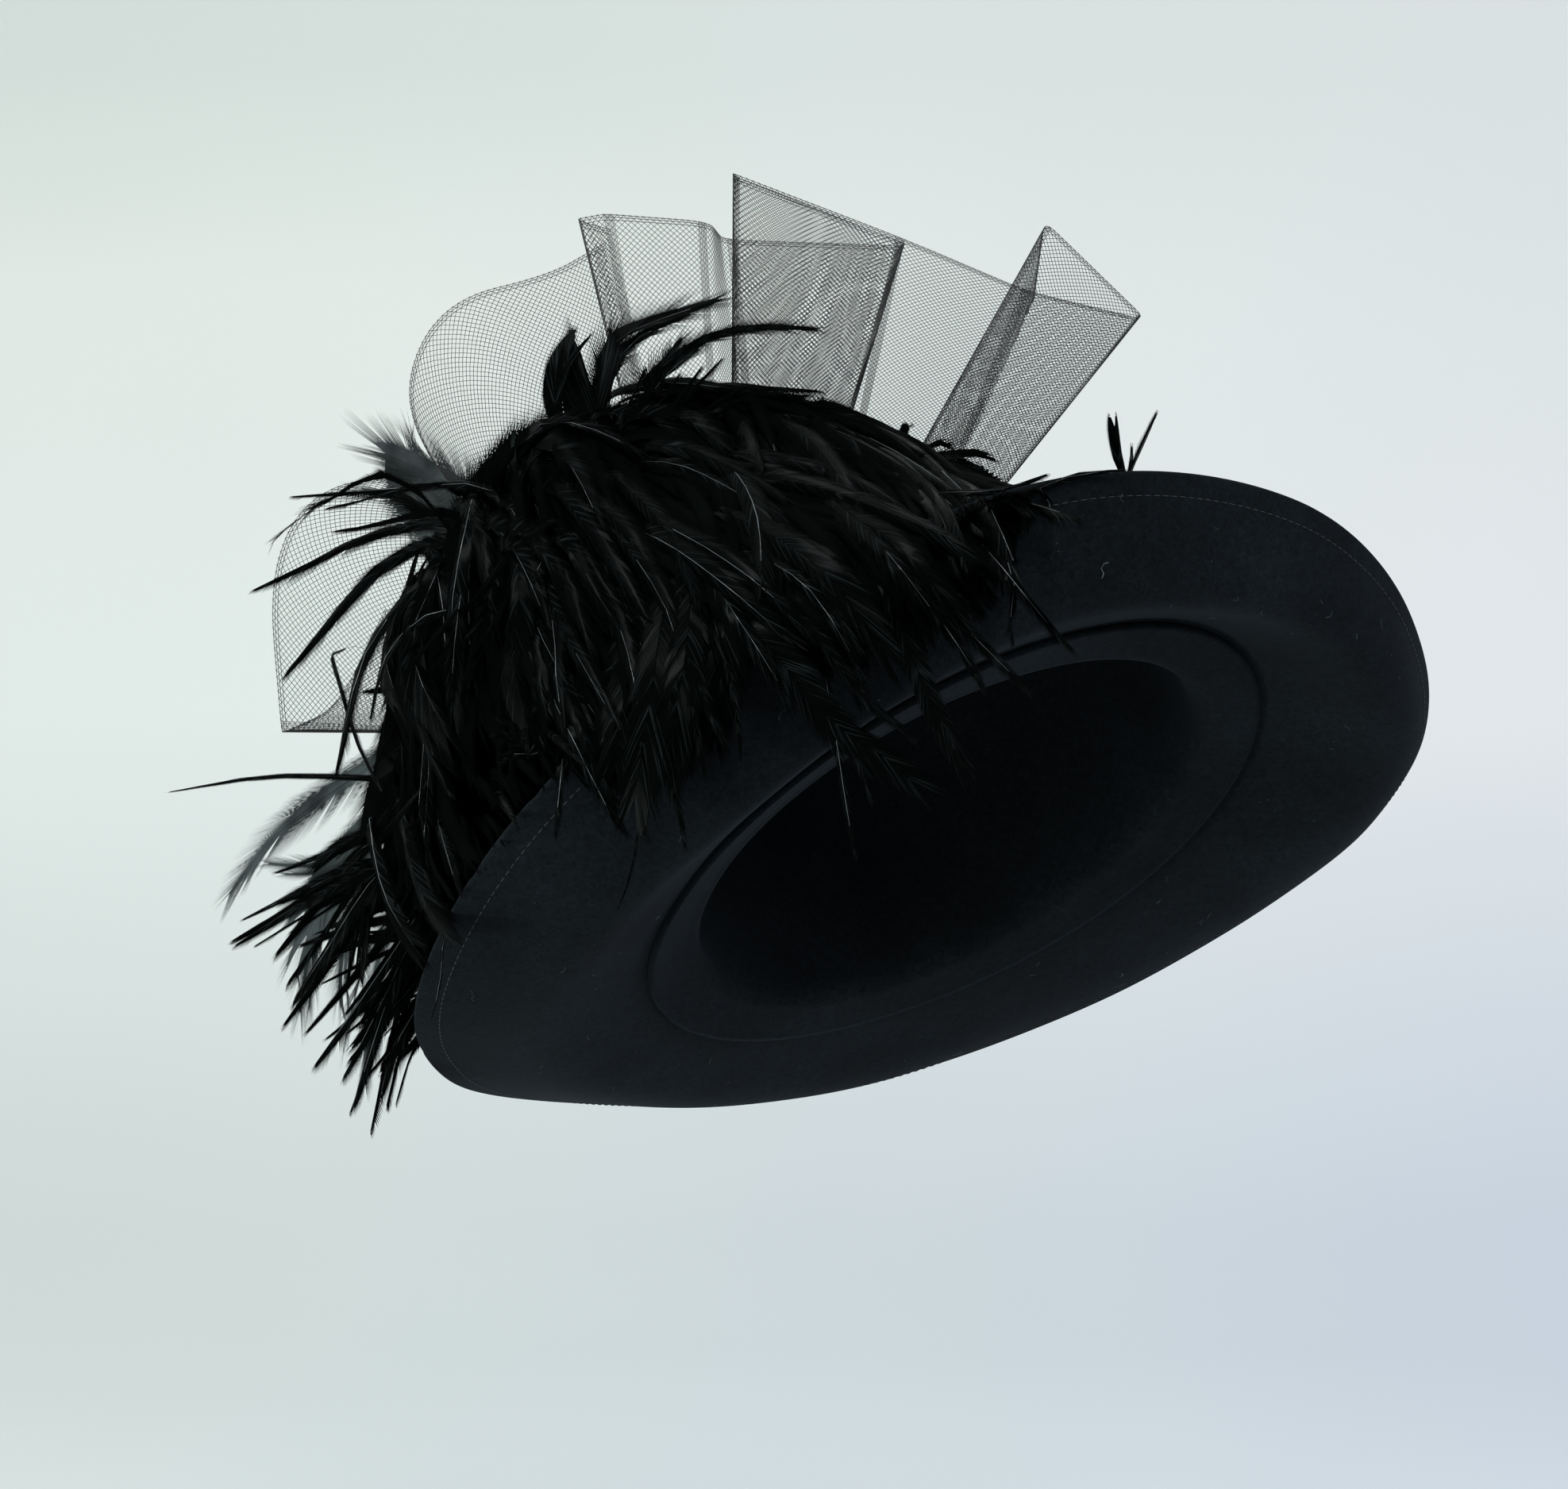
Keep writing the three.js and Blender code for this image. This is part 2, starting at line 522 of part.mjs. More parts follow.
// One lock: a flat spindle along a feather's line, or only its free end where the rest is in a mat
function lockGeometry(tuft, share) {
  const { across, curve } = featherLine(tuft, share);
  const from = Math.max(0, tuft.mat - MAT_HOLD);
  const rings = LOCK_SHARES.map((part, i) => {
    const t = THREE.MathUtils.lerp(from, 1, i / (LOCK_SHARES.length - 1));
    const centre = curve.getPoint(t);
    const over = throughFeather(across, curve, t);
    const side = curve.getTangent(t).cross(over).normalize();
    const half = Math.max((tuft.width * part) / 2, LOCK_LEAST_HALF_WIDTH);
    const thick = Math.max(half * LOCK_FLATNESS, LOCK_LEAST_HALF_THICK);
    return [side.clone().multiplyScalar(half), over.clone().multiplyScalar(thick),
      side.clone().multiplyScalar(-half), over.clone().multiplyScalar(-thick)].map((p) => p.add(centre));
  });
  const positions = rings.flat().flatMap((p) => p.toArray());
  const index = [];
  const corners = rings[0].length;
  for (let i = 0; i + 1 < rings.length; i += 1) {
    for (let c = 0; c < corners; c += 1) {
      const [a, b] = [i * corners + c, i * corners + ((c + 1) % corners)];
      index.push(a, b, b + corners, a, b + corners, a + corners);
    }
  }
  const last = (rings.length - 1) * corners;
  index.push(0, 2, 1, 0, 3, 2, last, last + 1, last + 2, last, last + 2, last + 3);
  return solidGeometry(positions, index);
}

// The layer in which a tuft's feathers lie together, from the pad to where their tips part
function matGeometry(tuft) {
  const columns = Math.round(tuft.count * MAT_COLUMNS_PER_LOCK);
  const grids = [[], []];
  for (let i = 0; i <= columns; i += 1) {
    const { across, curve } = featherLine(tuft, i / columns);
    const rows = [[], []];
    for (let k = 0; k <= MAT_STEPS_ALONG; k += 1) {
      const t = (tuft.mat * k) / MAT_STEPS_ALONG;
      const centre = curve.getPoint(t);
      const over = throughFeather(across, curve, t);
      const border = i === 0 || i === columns || k === MAT_STEPS_ALONG;
      const half = (border ? MAT_EDGE_THICK : MAT_THICK) / 2;
      rows[0].push(centre.clone().addScaledVector(over, half));
      rows[1].push(centre.clone().addScaledVector(over, -half));
    }
    grids[0].push(rows[0]);
    grids[1].push(rows[1]);
  }
  return sheetGeometry(grids[0], grids[1]);
}

// A pad and its tufts as one body, cut back where it would touch the felt
function feathers(pad, tufts, felt) {
  let whole = toSolid(padGeometry(pad));
  for (const tuft of tufts) {
    if (tuft.mat > 0) whole = whole.add(toSolid(matGeometry(tuft)));
    for (let i = 0; i < tuft.count; i += 1) {
      const share = tuft.count === 1 ? 0 : i / (tuft.count - 1);
      whole = whole.add(toSolid(lockGeometry(tuft, share)));
    }
  }
  // Crossing locks can close a pinhole between them, which comes out as a body of its own.
  const bodies = whole.simplify(PLAINER).subtract(felt).simplify(LEAST_EDGE).decompose();
  return fromSolid(bodies.reduce((a, b) => (a.volume() > b.volume() ? a : b)));
}

const feltMaterial = new THREE.MeshStandardMaterial({ color: 0x171b22, roughness: 0.95, metalness: 0 });
const netMaterial = new THREE.MeshStandardMaterial({ color: 0x15171a, roughness: 0.5, metalness: 0 });
const featherMaterial = new THREE.MeshStandardMaterial({ color: 0x080a0a, roughness: 0.4, metalness: 0 });

function named(name, geometry, material) {
  geometry.computeVertexNormals();
  const mesh = new THREE.Mesh(geometry, material);
  mesh.name = name;
  return mesh;
}

const hat = new THREE.Group();
const body = new THREE.Group();
body.setRotationFromMatrix(tilt);
body.add(named('crown', crownGeometry(), feltMaterial));
body.add(named('brim', brimGeometry(), feltMaterial));
hat.add(body);

hat.add(named('net_fan', netGeometry(NET_FAN), netMaterial));
hat.add(named('net_loops', netGeometry(NET_LOOPS), netMaterial));

const feltSpace = toSolid(crownGeometry(CLEARANCE).applyMatrix4(tilt))
  .add(toSolid(brimGeometry(CLEARANCE).applyMatrix4(tilt)));
hat.add(named('feather_side', feathers(SIDE_PAD, SIDE_TUFTS, feltSpace), featherMaterial));
hat.add(named('feather_back', feathers(BACK_PAD, BACK_TUFTS, feltSpace), featherMaterial));
hat.add(named('feather_sprig', feathers(SPRIG_PAD, SPRIG_TUFTS, feltSpace), featherMaterial));

export default hat;
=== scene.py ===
# A black felt wide-brim hat with cock feathers and a pleated net band, at the tilt that it is worn at.
# The shapes repeat part.mjs's tables in millimetres; MM turns them into metres.
import math
import random

import bpy
import numpy as np
from mathutils import Euler, Matrix, Vector
from mathutils.bvhtree import BVHTree


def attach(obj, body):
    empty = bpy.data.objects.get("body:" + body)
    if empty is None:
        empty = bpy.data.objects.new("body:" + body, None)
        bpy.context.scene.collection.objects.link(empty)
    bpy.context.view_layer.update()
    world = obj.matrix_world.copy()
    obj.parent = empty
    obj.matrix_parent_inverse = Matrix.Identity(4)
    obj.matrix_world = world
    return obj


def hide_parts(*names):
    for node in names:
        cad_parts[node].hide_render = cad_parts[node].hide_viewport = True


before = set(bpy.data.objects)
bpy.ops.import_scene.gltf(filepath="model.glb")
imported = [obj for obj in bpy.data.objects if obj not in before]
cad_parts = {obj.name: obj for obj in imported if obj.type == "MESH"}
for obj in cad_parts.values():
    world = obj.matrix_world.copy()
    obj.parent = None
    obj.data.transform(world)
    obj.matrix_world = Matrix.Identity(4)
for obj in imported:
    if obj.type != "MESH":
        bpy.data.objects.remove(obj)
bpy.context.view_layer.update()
MM = 0.001
TINY = 1e-9

# Felt body
FELT = 2.4
SEAM_GAP = 0.3
HEAD_HALF_LENGTH = 104
HEAD_HALF_WIDTH = 85
CROWN_HEIGHT = 138
CROWN_SQUARENESS = 2.6
COLLAR_WIDTH = 26
COLLAR_ROUND = 7
LAP = 6
LAP_CLEAR = 1.8
HEM_WIDTH = 6.5
HEM_THICK = 3.2
FRONT_UP = 29
RIGHT_UP = 28.3
TURN = 1

# The brim, a row for each twelfth of the way round from the front past the right side
BRIM_COLUMNS = ("inner", "outer", "bend", "width", "seam", "opening")
BRIM = [
    (-47, 51, 52, 79, -1.5, 0.4),
    (-40, 49, 44, 82, -0.7, 1.4),
    (-29, 56, 40, 85, -2.3, 1.9),
    (-30, 63, 39, 88, -5.5, 1.9),
    (-31, 48, 38, 90, -7.8, 1.3),
    (-19, 26, 39, 90, -7.1, 0.3),
    (-4, 27, 41, 88, -3.8, -0.8),
    (0, 40, 45, 85, -0.7, -1.8),
    (-1, 35, 53, 82, 0, -2.3),
    (-1, 20, 60, 79, -1.5, -2.3),
    (-11, 24, 62, 78, -3.2, -1.7),
    (-33, 43, 59, 78, -3.1, -0.7),
]
BEND_TIGHT = 16
BEND_SOFT = 34
BEND_TIGHTEST_AT = 100
BEND_SPREAD = 0.7

tilt = np.array(
    Matrix.Rotation(math.radians(-FRONT_UP), 3, "Y")
    @ Matrix.Rotation(math.radians(-RIGHT_UP), 3, "X")
    @ Matrix.Rotation(math.radians(TURN), 3, "Z")
)


def unit(v):
    return v / np.maximum(np.linalg.norm(v, axis=-1, keepdims=True), TINY)


def curve(a, b, c, d, t):
    """The smooth curve from b to c that also minds a and d, its neighbours on either side."""
    bow = (2 * a - 5 * b + 4 * c - d) * t**2 + (3 * b - a - 3 * c + d) * t**3
    return b + 0.5 * ((c - a) * t + bow)


def sampled(at, places, values):
    """Rows of values, one column after another, between the places where they are known."""
    return np.stack([np.interp(at, places, values[:, k]) for k in range(values.shape[1])], -1)


def reach_along(points):
    """How far along a line each of its points lies."""
    return np.concatenate([[0], np.cumsum(np.linalg.norm(np.diff(points, axis=0), axis=1))])


def quads_between(rows, columns, closed=False):
    """Faces of a grid of points counted row by row; closed, its last column is joined to its first."""
    r, c = np.meshgrid(np.arange(rows - 1), np.arange(columns if closed else columns - 1), indexing="ij")
    c2 = (c + 1) % columns
    quads = [r * columns + c, r * columns + c2, (r + 1) * columns + c2, (r + 1) * columns + c]
    return np.stack(quads, -1).reshape(-1, 4)


def brim_at(degrees, column):
    """A column of the brim table at any angles, as a smooth curve through its rows."""
    values = np.array([row[BRIM_COLUMNS.index(column)] for row in BRIM], float)
    count = len(values)
    place = (np.asarray(degrees, float) % 360) / (360 / count)
    i = np.floor(place).astype(int)
    return curve(*(values[(i + k) % count] for k in (-1, 0, 1, 2)), place - i)


def opening_at(degrees):
    """The edge of the hat's opening, and the way straight out of it."""
    a = np.radians(degrees)
    edge = np.stack([HEAD_HALF_LENGTH * np.cos(a), -HEAD_HALF_WIDTH * np.sin(a), 0 * a], -1)
    out = np.stack([HEAD_HALF_WIDTH * np.cos(a), -HEAD_HALF_LENGTH * np.sin(a), 0 * a], -1)
    return edge, unit(out)


def section_place(degrees, out_by, up, slope, away):
    """A place of the felt's section: so far out of the opening and up, and away from the felt's face."""
    edge, out = opening_at(degrees)
    reach = (out_by - away * np.sin(slope))[..., None]
    rise = (up + away * np.cos(slope))[..., None]
    return edge + out * reach + np.array([0, 0, 1.0]) * rise


def collar_up(degrees, out_by):
    share = np.clip((out_by - COLLAR_ROUND) / (COLLAR_WIDTH - COLLAR_ROUND), 0, 1)
    seam = brim_at(degrees, "seam") - (FELT + SEAM_GAP) / 2
    return brim_at(degrees, "opening") + share * seam


def collar_slope(degrees):
    seam = brim_at(degrees, "seam") - (FELT + SEAM_GAP) / 2
    return np.arctan2(seam, COLLAR_WIDTH - COLLAR_ROUND)


def crown_point(degrees, rise, away=0.0):
    a, b = np.broadcast_arrays(np.radians(degrees), np.radians(rise))
    spread = np.cos(b) ** (2 / CROWN_SQUARENESS)
    lift = np.sin(b) ** (2 / CROWN_SQUARENESS)
    return np.stack(
        [
            (HEAD_HALF_LENGTH + away) * spread * np.cos(a),
            -(HEAD_HALF_WIDTH + away) * spread * np.sin(a),
            (CROWN_HEIGHT + away) * lift,
        ],
        -1,
    )


def worn(points):
    """From the hat's own frame to the tilt that it is worn at."""
    return np.asarray(points) @ tilt.T


# Meshes from arrays
def add_mesh(name, points, faces, looks, slot, uv=None, shown=None):
    """A piece of the hat from points in millimetres and faces, a list of arrays of three or four corners.
    Shown gives each face's material among the looks."""
    mesh = bpy.data.meshes.new(name)
    points = np.asarray(points, np.float32) * MM
    counts = np.concatenate([np.full(len(f), f.shape[1]) for f in faces])
    corners = np.concatenate([f.ravel() for f in faces]).astype(np.int32)
    mesh.vertices.add(len(points))
    mesh.vertices.foreach_set("co", points.ravel())
    mesh.loops.add(len(corners))
    mesh.loops.foreach_set("vertex_index", corners)
    mesh.polygons.add(len(counts))
    starts = np.concatenate([[0], np.cumsum(counts)[:-1]]).astype(np.int32)
    mesh.polygons.foreach_set("loop_start", starts)
    mesh.polygons.foreach_set("loop_total", counts.astype(np.int32))
    mesh.polygons.foreach_set("use_smooth", np.full(len(counts), True))
    if uv is not None:
        layer = mesh.uv_layers.new(name="along")
        layer.data.foreach_set("uv", np.asarray(uv, np.float32)[corners].ravel())
    for look in looks if isinstance(looks, tuple) else (looks,):
        mesh.materials.append(look)
    if shown is not None:
        mesh.polygons.foreach_set("material_index", np.asarray(shown, np.int32))
    mesh.update(calc_edges=True)
    obj = bpy.data.objects.new(name, mesh)
    bpy.context.scene.collection.objects.link(obj)
    if slot:
        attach(obj, "root")
    return obj


def loop_grid(rows, around):
    """Faces of a grid closed both ways: rows of points round a section, each row right round the hat."""
    return quads_between(rows + 1, around, closed=True) % (rows * around)


# Materials. A noise lies mostly between a look's two stops, where its tone goes from dark to light
TONE_STOPS = (0.3, 0.7)
FEATHER_STOPS = (0.35, 0.68)
# Stops of a vane's painted sheen: lighter streaks along its barbs that stand in for highlights
SHEEN_STREAK_STOPS = (0.55, 0.72)
FEATHER_SCALE = 45
FEATHER_BARBS = (0.25, 0.0001)
MIX_A, MIX_B, MIX_RESULT = 6, 7, 2
# The felt: its fine, matted and broad noises as scale, detail and more; its tones and the flecks over them;
# how strong and how high its coarse and its fine bumps are; and its finish
FELT_NOISES = (
    (2600, 3, {"Roughness": 0.7}),
    (420, 4, {"Roughness": 0.65, "Distortion": 1.2}),
    (16, 3, {"Roughness": 0.55}),
)
FELT_TONES = [(0.3, (0.0033, 0.0046, 0.0056)), (0.7, (0.0064, 0.0088, 0.0108))]
FELT_FLECKS = [(0.35, (0.62, 0.62, 0.62)), (0.72, (1.5, 1.5, 1.5))]
FELT_COARSE = (0.35, 0.0006)
FELT_GRAIN = (0.4, 0.0003)
FELT_FINISH = {
    "Roughness": 0.95,
    "Specular IOR Level": 0.05,
    "Sheen Weight": 0.25,
    "Sheen Roughness": 0.45,
    "Sheen Tint": (0.055, 0.07, 0.09, 1),
}
# How close together the painted sheen's streaks are, and how far they are drawn out along the barbs
SHEEN_STREAK_SCALE = 30
SHEEN_STREAK_DRAW = (0.4, 0.5, 1)


def material(name):
    made = bpy.data.materials.new(name)
    made.use_nodes = True
    return made, made.node_tree, made.node_tree.nodes["Principled BSDF"]


def fill(made, tree, inputs):
    """Gives a node's inputs their values, or joins them to the sockets that are given for them."""
    for key, value in inputs.items():
        if isinstance(value, bpy.types.NodeSocket):
            tree.links.new(value, made.inputs[key])
        else:
            made.inputs[key].default_value = value


def node(tree, kind, inputs, result, **settings):
    """The named result of a new node."""
    made = tree.nodes.new("ShaderNode" + kind)
    for key, value in settings.items():
        setattr(made, key, value)
    fill(made, tree, inputs)
    return made.outputs[result]


def noise(tree, place, scale, detail, more=None):
    inputs = {"Vector": place, "Scale": scale, "Detail": detail, **(more or {})}
    return node(tree, "TexNoise", inputs, "Fac")


def bump(tree, strength, distance, inputs):
    return node(tree, "Bump", {"Strength": strength, "Distance": distance, **inputs}, "Normal")


def ramp(tree, value, stops):
    """The colour that belongs to a value, between stops of a value and a colour each."""
    made = tree.nodes.new("ShaderNodeValToRGB")
    elements = made.color_ramp.elements
    while len(elements) < len(stops):
        elements.new(0.5)
    for element, (place, colour) in zip(elements, stops):
        element.position = place
        element.color = (*colour, 1)
    fill(made, tree, {"Fac": value})
    return made.outputs["Color"]


def toned(name, scale, dark, light, roughness):
    """A look whose colour changes from dark to light from place to place."""
    made, tree, shader = material(name)
    change = noise(tree, node(tree, "TexCoord", {}, "Object"), scale, 2)
    tone = ramp(tree, change, list(zip(TONE_STOPS, (dark, light))))
    fill(shader, tree, {"Base Color": tone, "Roughness": roughness})
    return made


def felt_material():
    made, tree, shader = material("felt")
    place = node(tree, "TexCoord", {}, "Object")
    fine, matted, broad = (noise(tree, place, *settings) for settings in FELT_NOISES)
    tone, fleck = ramp(tree, broad, FELT_TONES), ramp(tree, matted, FELT_FLECKS)
    both = {"Factor": 1.0, MIX_A: tone, MIX_B: fleck}
    coarse = bump(tree, *FELT_COARSE, {"Height": matted})
    fill(shader, tree, {
        "Base Color": node(tree, "Mix", both, MIX_RESULT, data_type="RGBA", blend_type="MULTIPLY"),
        "Normal": bump(tree, *FELT_GRAIN, {"Height": fine, "Normal": coarse}),
        **FELT_FINISH,
    })
    return made


def feather_material(name, dark, light, roughness, gloss, painted_sheen=False):
    """A feather's look. Its tone changes from place to place or, with painted sheen, in lighter streaks along
    the barbs that stand in for highlights.
    """
    made, tree, shader = material(name)
    along = node(tree, "UVMap", {}, "UV", uv_map="along")
    barbs = {0: node(tree, "SeparateXYZ", {"Vector": along}, "X"), 1: 2 * math.pi}
    barbs = node(tree, "Math", barbs, "Value", operation="MULTIPLY")
    wave = node(tree, "Math", {0: barbs}, "Value", operation="SINE")
    place = node(tree, "TexCoord", {}, "Object")
    # Painted sheen: lighter streaks, drawn out along the barbs, stand in for the feather's highlights
    if painted_sheen:
        aside = node(tree, "VectorMath", {0: place, "Scale": SHEEN_STREAK_SCALE}, "Vector", operation="SCALE")
        sheen_streak_place = {0: along, 1: SHEEN_STREAK_DRAW, 2: aside}
        change = noise(tree, node(tree, "VectorMath", sheen_streak_place, "Vector", operation="MULTIPLY_ADD"), 1, 2)
    else:
        change = noise(tree, place, FEATHER_SCALE, 3)
    stops = SHEEN_STREAK_STOPS if painted_sheen else FEATHER_STOPS
    fill(shader, tree, {
        "Base Color": ramp(tree, change, list(zip(stops, (dark, light)))),
        "Roughness": roughness,
        "Specular IOR Level": gloss,
        "Normal": bump(tree, *FEATHER_BARBS, {"Height": wave}),
    })
    return made


FELT_LOOK = felt_material()
THREAD_LOOK = toned("thread", 1800, (0.006, 0.007, 0.009), (0.012, 0.015, 0.018), 0.6)
NET_LOOK = toned("net", 60, (0.006, 0.0065, 0.007), (0.015, 0.016, 0.016), 0.38)
# The vane's own near-black tone, and the lighter tone of its painted sheen streaks
VANE_TONE_AND_SHEEN = ((0.0007, 0.001, 0.001), (0.0105, 0.0135, 0.0135))
VANE_SHEEN_LOOK = feather_material("feather_vane_painted_sheen", *VANE_TONE_AND_SHEEN, 0.16, 0.012, painted_sheen=True)
# Painted glint: a lighter, glossy look for thin tubes laid over the shafts near their tips, standing in for
# highlights
PAINTED_GLINT_LOOK = feather_material("feather_painted_glint", (0.008, 0.010, 0.011), (0.13, 0.15, 0.16), 0.2, 0.9)
UNDER_LOOK = feather_material("feather_under", (0.0006, 0.0008, 0.0008), (0.0013, 0.0018, 0.0018), 0.5, 0.005)
DOWN_LOOK = feather_material("feather_down", (0.016, 0.020, 0.021), (0.070, 0.084, 0.087), 0.6, 0.05)
FEATHER_LOOKS = (VANE_SHEEN_LOOK, PAINTED_GLINT_LOOK, UNDER_LOOK)
VANE, PAINTED_GLINT_SLOT, UNDER = range(len(FEATHER_LOOKS))
DOWN_LOOKS = (DOWN_LOOK,) * len(FEATHER_LOOKS)
LINT_LOOK = toned("lint", 90, (0.03, 0.04, 0.045), (0.12, 0.15, 0.16), 0.8)
PAD_LOOK = feather_material("feather_pad", (0.0010, 0.0012, 0.0013), (0.0022, 0.0026, 0.0027), 0.9, 0.01)

# The felt, finely divided and a little uneven, as hand-shaped felt is
AROUND = 300
ROUND = np.arange(AROUND) * 360 / AROUND
UNEVEN = 0.35
BROAD_WAVE = (23, 31, 19, 27)
WAVE_BEND = 1.3
FINE_WAVE = (13, 17, 41, 15)
FINE_SHARE = 0.6
FINE_START = 2.1
COLLAR_STEPS = 10
COLLAR_ROLL = (15, 30, 45, 60, 75)
CROWN_STEPS = 40
BRIM_STEPS = 46
FINE_STEPS = 6
HEM_FROM = 60
NO_HEM = -1.0
HEM_EDGE = 0.6
GROOVE_DEEP = 0.22
GROOVE_WIDE = 0.7
EDGE_STEPS = 7


def uneven(points):
    """A gentle low hand-worked waviness, in millimetres, the same on both faces."""
    x, y, z = points[..., 0], points[..., 1], points[..., 2]
    a, b, c, d = BROAD_WAVE
    wave = np.sin(x / a + WAVE_BEND * np.sin(y / b)) * np.cos(y / c + z / d)
    a, b, c, d = FINE_WAVE
    wave += FINE_SHARE * np.sin(z / a + x / b + FINE_START) * np.cos(x / c - y / d)
    return UNEVEN * wave


def crown_section(away):
    """Rows of one of the crown's faces, so far off its inner one, from the collar's edge to near the top."""
    rows = []
    for out_by in np.linspace(COLLAR_WIDTH - LAP_CLEAR, COLLAR_ROUND, COLLAR_STEPS):
        level = np.full_like(ROUND, out_by)
        rows.append(section_place(ROUND, level, collar_up(ROUND, level), collar_slope(ROUND), away))
    for roll in COLLAR_ROLL:
        turn = math.radians(roll)
        level = np.full_like(ROUND, COLLAR_ROUND * (1 - math.sin(turn)))
        up = collar_up(ROUND, level) + COLLAR_ROUND * (1 - math.cos(turn))
        rows.append(section_place(ROUND, level, up, np.full_like(ROUND, -turn), away))
    height = COLLAR_ROUND / CROWN_HEIGHT
    for share in np.linspace(0, 1, CROWN_STEPS, endpoint=False):
        up = height + (1 - height) * math.sin(math.pi / 2 * share)
        rise = math.degrees(math.asin(up ** (CROWN_SQUARENESS / 2)))
        rows.append(crown_point(ROUND, rise, away))
    return rows


def make_crown():
    rows = crown_section(0)[::-1] + crown_section(FELT)
    apexes = worn(np.array([[0, 0, CROWN_HEIGHT], [0, 0, CROWN_HEIGHT + FELT]]))
    points = np.concatenate([worn(row) for row in rows] + [apexes])
    count = len(rows)
    quads = quads_between(count, AROUND, closed=True)
    step = np.arange(AROUND)
    following = (step + 1) % AROUND
    last = (count - 1) * AROUND
    inner_cap = np.stack([np.full(AROUND, count * AROUND), step, following], -1)
    outer_cap = np.stack([np.full(AROUND, count * AROUND + 1), last + following, last + step], -1)
    made = add_mesh("crown_felt", points, [quads[:, ::-1], inner_cap, outer_cap], FELT_LOOK, "felt")
    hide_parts("crown")
    return made


def brim_walk(degrees):
    """The brim's underside from the lap to the edge, row by row: how far out, how high, the slope, and how
    much is left to the edge, below zero where it laps the collar."""
    inner = np.radians(brim_at(degrees, "inner"))
    outer = np.radians(brim_at(degrees, "outer"))
    bend, width = brim_at(degrees, "bend"), brim_at(degrees, "width")
    near = 0.5 + 0.5 * np.cos(np.radians(degrees - BEND_TIGHTEST_AT))
    bend_length = BEND_TIGHT + BEND_SOFT * (1 - near) ** BEND_SPREAD
    lap_slope = collar_slope(degrees)
    above = (FELT + SEAM_GAP) / np.cos(lap_slope)
    rows = []
    for out_by in (COLLAR_WIDTH - LAP, COLLAR_WIDTH - LAP / 2, COLLAR_WIDTH):
        level = np.full_like(degrees, out_by)
        rows.append((level, collar_up(degrees, level) + above, lap_slope, np.full_like(degrees, NO_HEM)))
    out_by, up = rows[-1][0].copy(), rows[-1][1].copy()
    total = BRIM_STEPS * FINE_STEPS
    length = width / total
    for i in range(1, total + 1):
        along = (i - 0.5) * length
        t = np.clip((along - bend + bend_length / 2) / bend_length, 0, 1)
        slope = inner + (outer - inner) * t * t * (3 - 2 * t)
        if along.min() > HEM_FROM:
            slope = np.where(width - along < HEM_WIDTH, held, slope)
        if (width - along).max() > HEM_WIDTH:
            held = slope
        out_by = out_by + length * np.cos(slope)
        up = up + length * np.sin(slope)
        if i % FINE_STEPS == 0:
            rows.append((out_by, up, slope, width - i * length))
    return rows


def make_brim():
    under, over = [], []
    for out_by, up, slope, left in brim_walk(ROUND):
        t = np.clip((HEM_WIDTH + HEM_EDGE - left) / (2 * HEM_EDGE), 0, 1)
        hem = np.where(left < 0, 0, t * t * (3 - 2 * t))
        groove = GROOVE_DEEP * np.exp(-(((left - HEM_WIDTH) / GROOVE_WIDE) ** 2))
        extra = (HEM_THICK - FELT) * hem
        wave = uneven(section_place(ROUND, out_by, up, slope, 0.0 * up))
        under.append(section_place(ROUND, out_by, up, slope, wave + groove))
        over.append(section_place(ROUND, out_by, up, slope, wave + FELT + extra - groove))
    edge = []
    middle = (under[-1] + over[-1]) / 2
    half = (over[-1] - under[-1]) / 2
    out_way = unit(np.cross(half, np.roll(middle, -1, 0) - np.roll(middle, 1, 0)))
    outward = np.sign((out_way * opening_at(ROUND)[1]).sum(-1, keepdims=True))
    for k in range(1, EDGE_STEPS):
        turn = math.pi * k / EDGE_STEPS
        reach = np.linalg.norm(half, axis=-1, keepdims=True) * math.sin(turn)
        edge.append(middle - half * math.cos(turn) + out_way * outward * reach)
    rows = under + edge + over[::-1]
    points = np.concatenate([worn(row) for row in rows])
    made = add_mesh("brim_felt", points, [loop_grid(len(rows), AROUND)], FELT_LOOK, "felt")
    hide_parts("brim")
    return made


crown = make_crown()
brim = make_brim()


# Stitches along the hem, one row on each face
STITCH_LENGTH = 2.6
STITCH_GAP = 0.9
STITCH_RADIUS = 0.22
STITCH_SWELL = (0.5, 0.95, 1, 0.95, 0.5)
STITCH_RISE = 0.16
STITCH_SUNK = 0.12
ON_FELT = 0.05
HEM_LINE_PLACES = 1441


# Which way a tube's first corner lies, and how many sides threads and finer strands have
SIDE_START = np.array([0.31, 0.17, 0.93])
THREAD_SIDES = 5
STRAND_SIDES = 3


def tube(points, radii, sides):
    """A closed tube along points, as vertices and faces."""
    points = np.asarray(points, float)
    along = unit(np.gradient(points, axis=0))
    side = unit(np.cross(along, SIDE_START))
    other = np.cross(along, side)
    turn = 2 * np.pi * np.arange(sides) / sides
    ring = side[:, None] * np.cos(turn)[None, :, None] + other[:, None] * np.sin(turn)[None, :, None]
    vertices = points[:, None] + ring * np.asarray(radii, float).reshape(-1, 1, 1)
    last = (len(points) - 1) * sides
    caps = [(0, k + 1, k) for k in range(1, sides - 1)]
    caps += [(last, last + k, last + k + 1) for k in range(1, sides - 1)]
    return vertices.reshape(-1, 3), [quads_between(len(points), sides, closed=True), np.array(caps)]


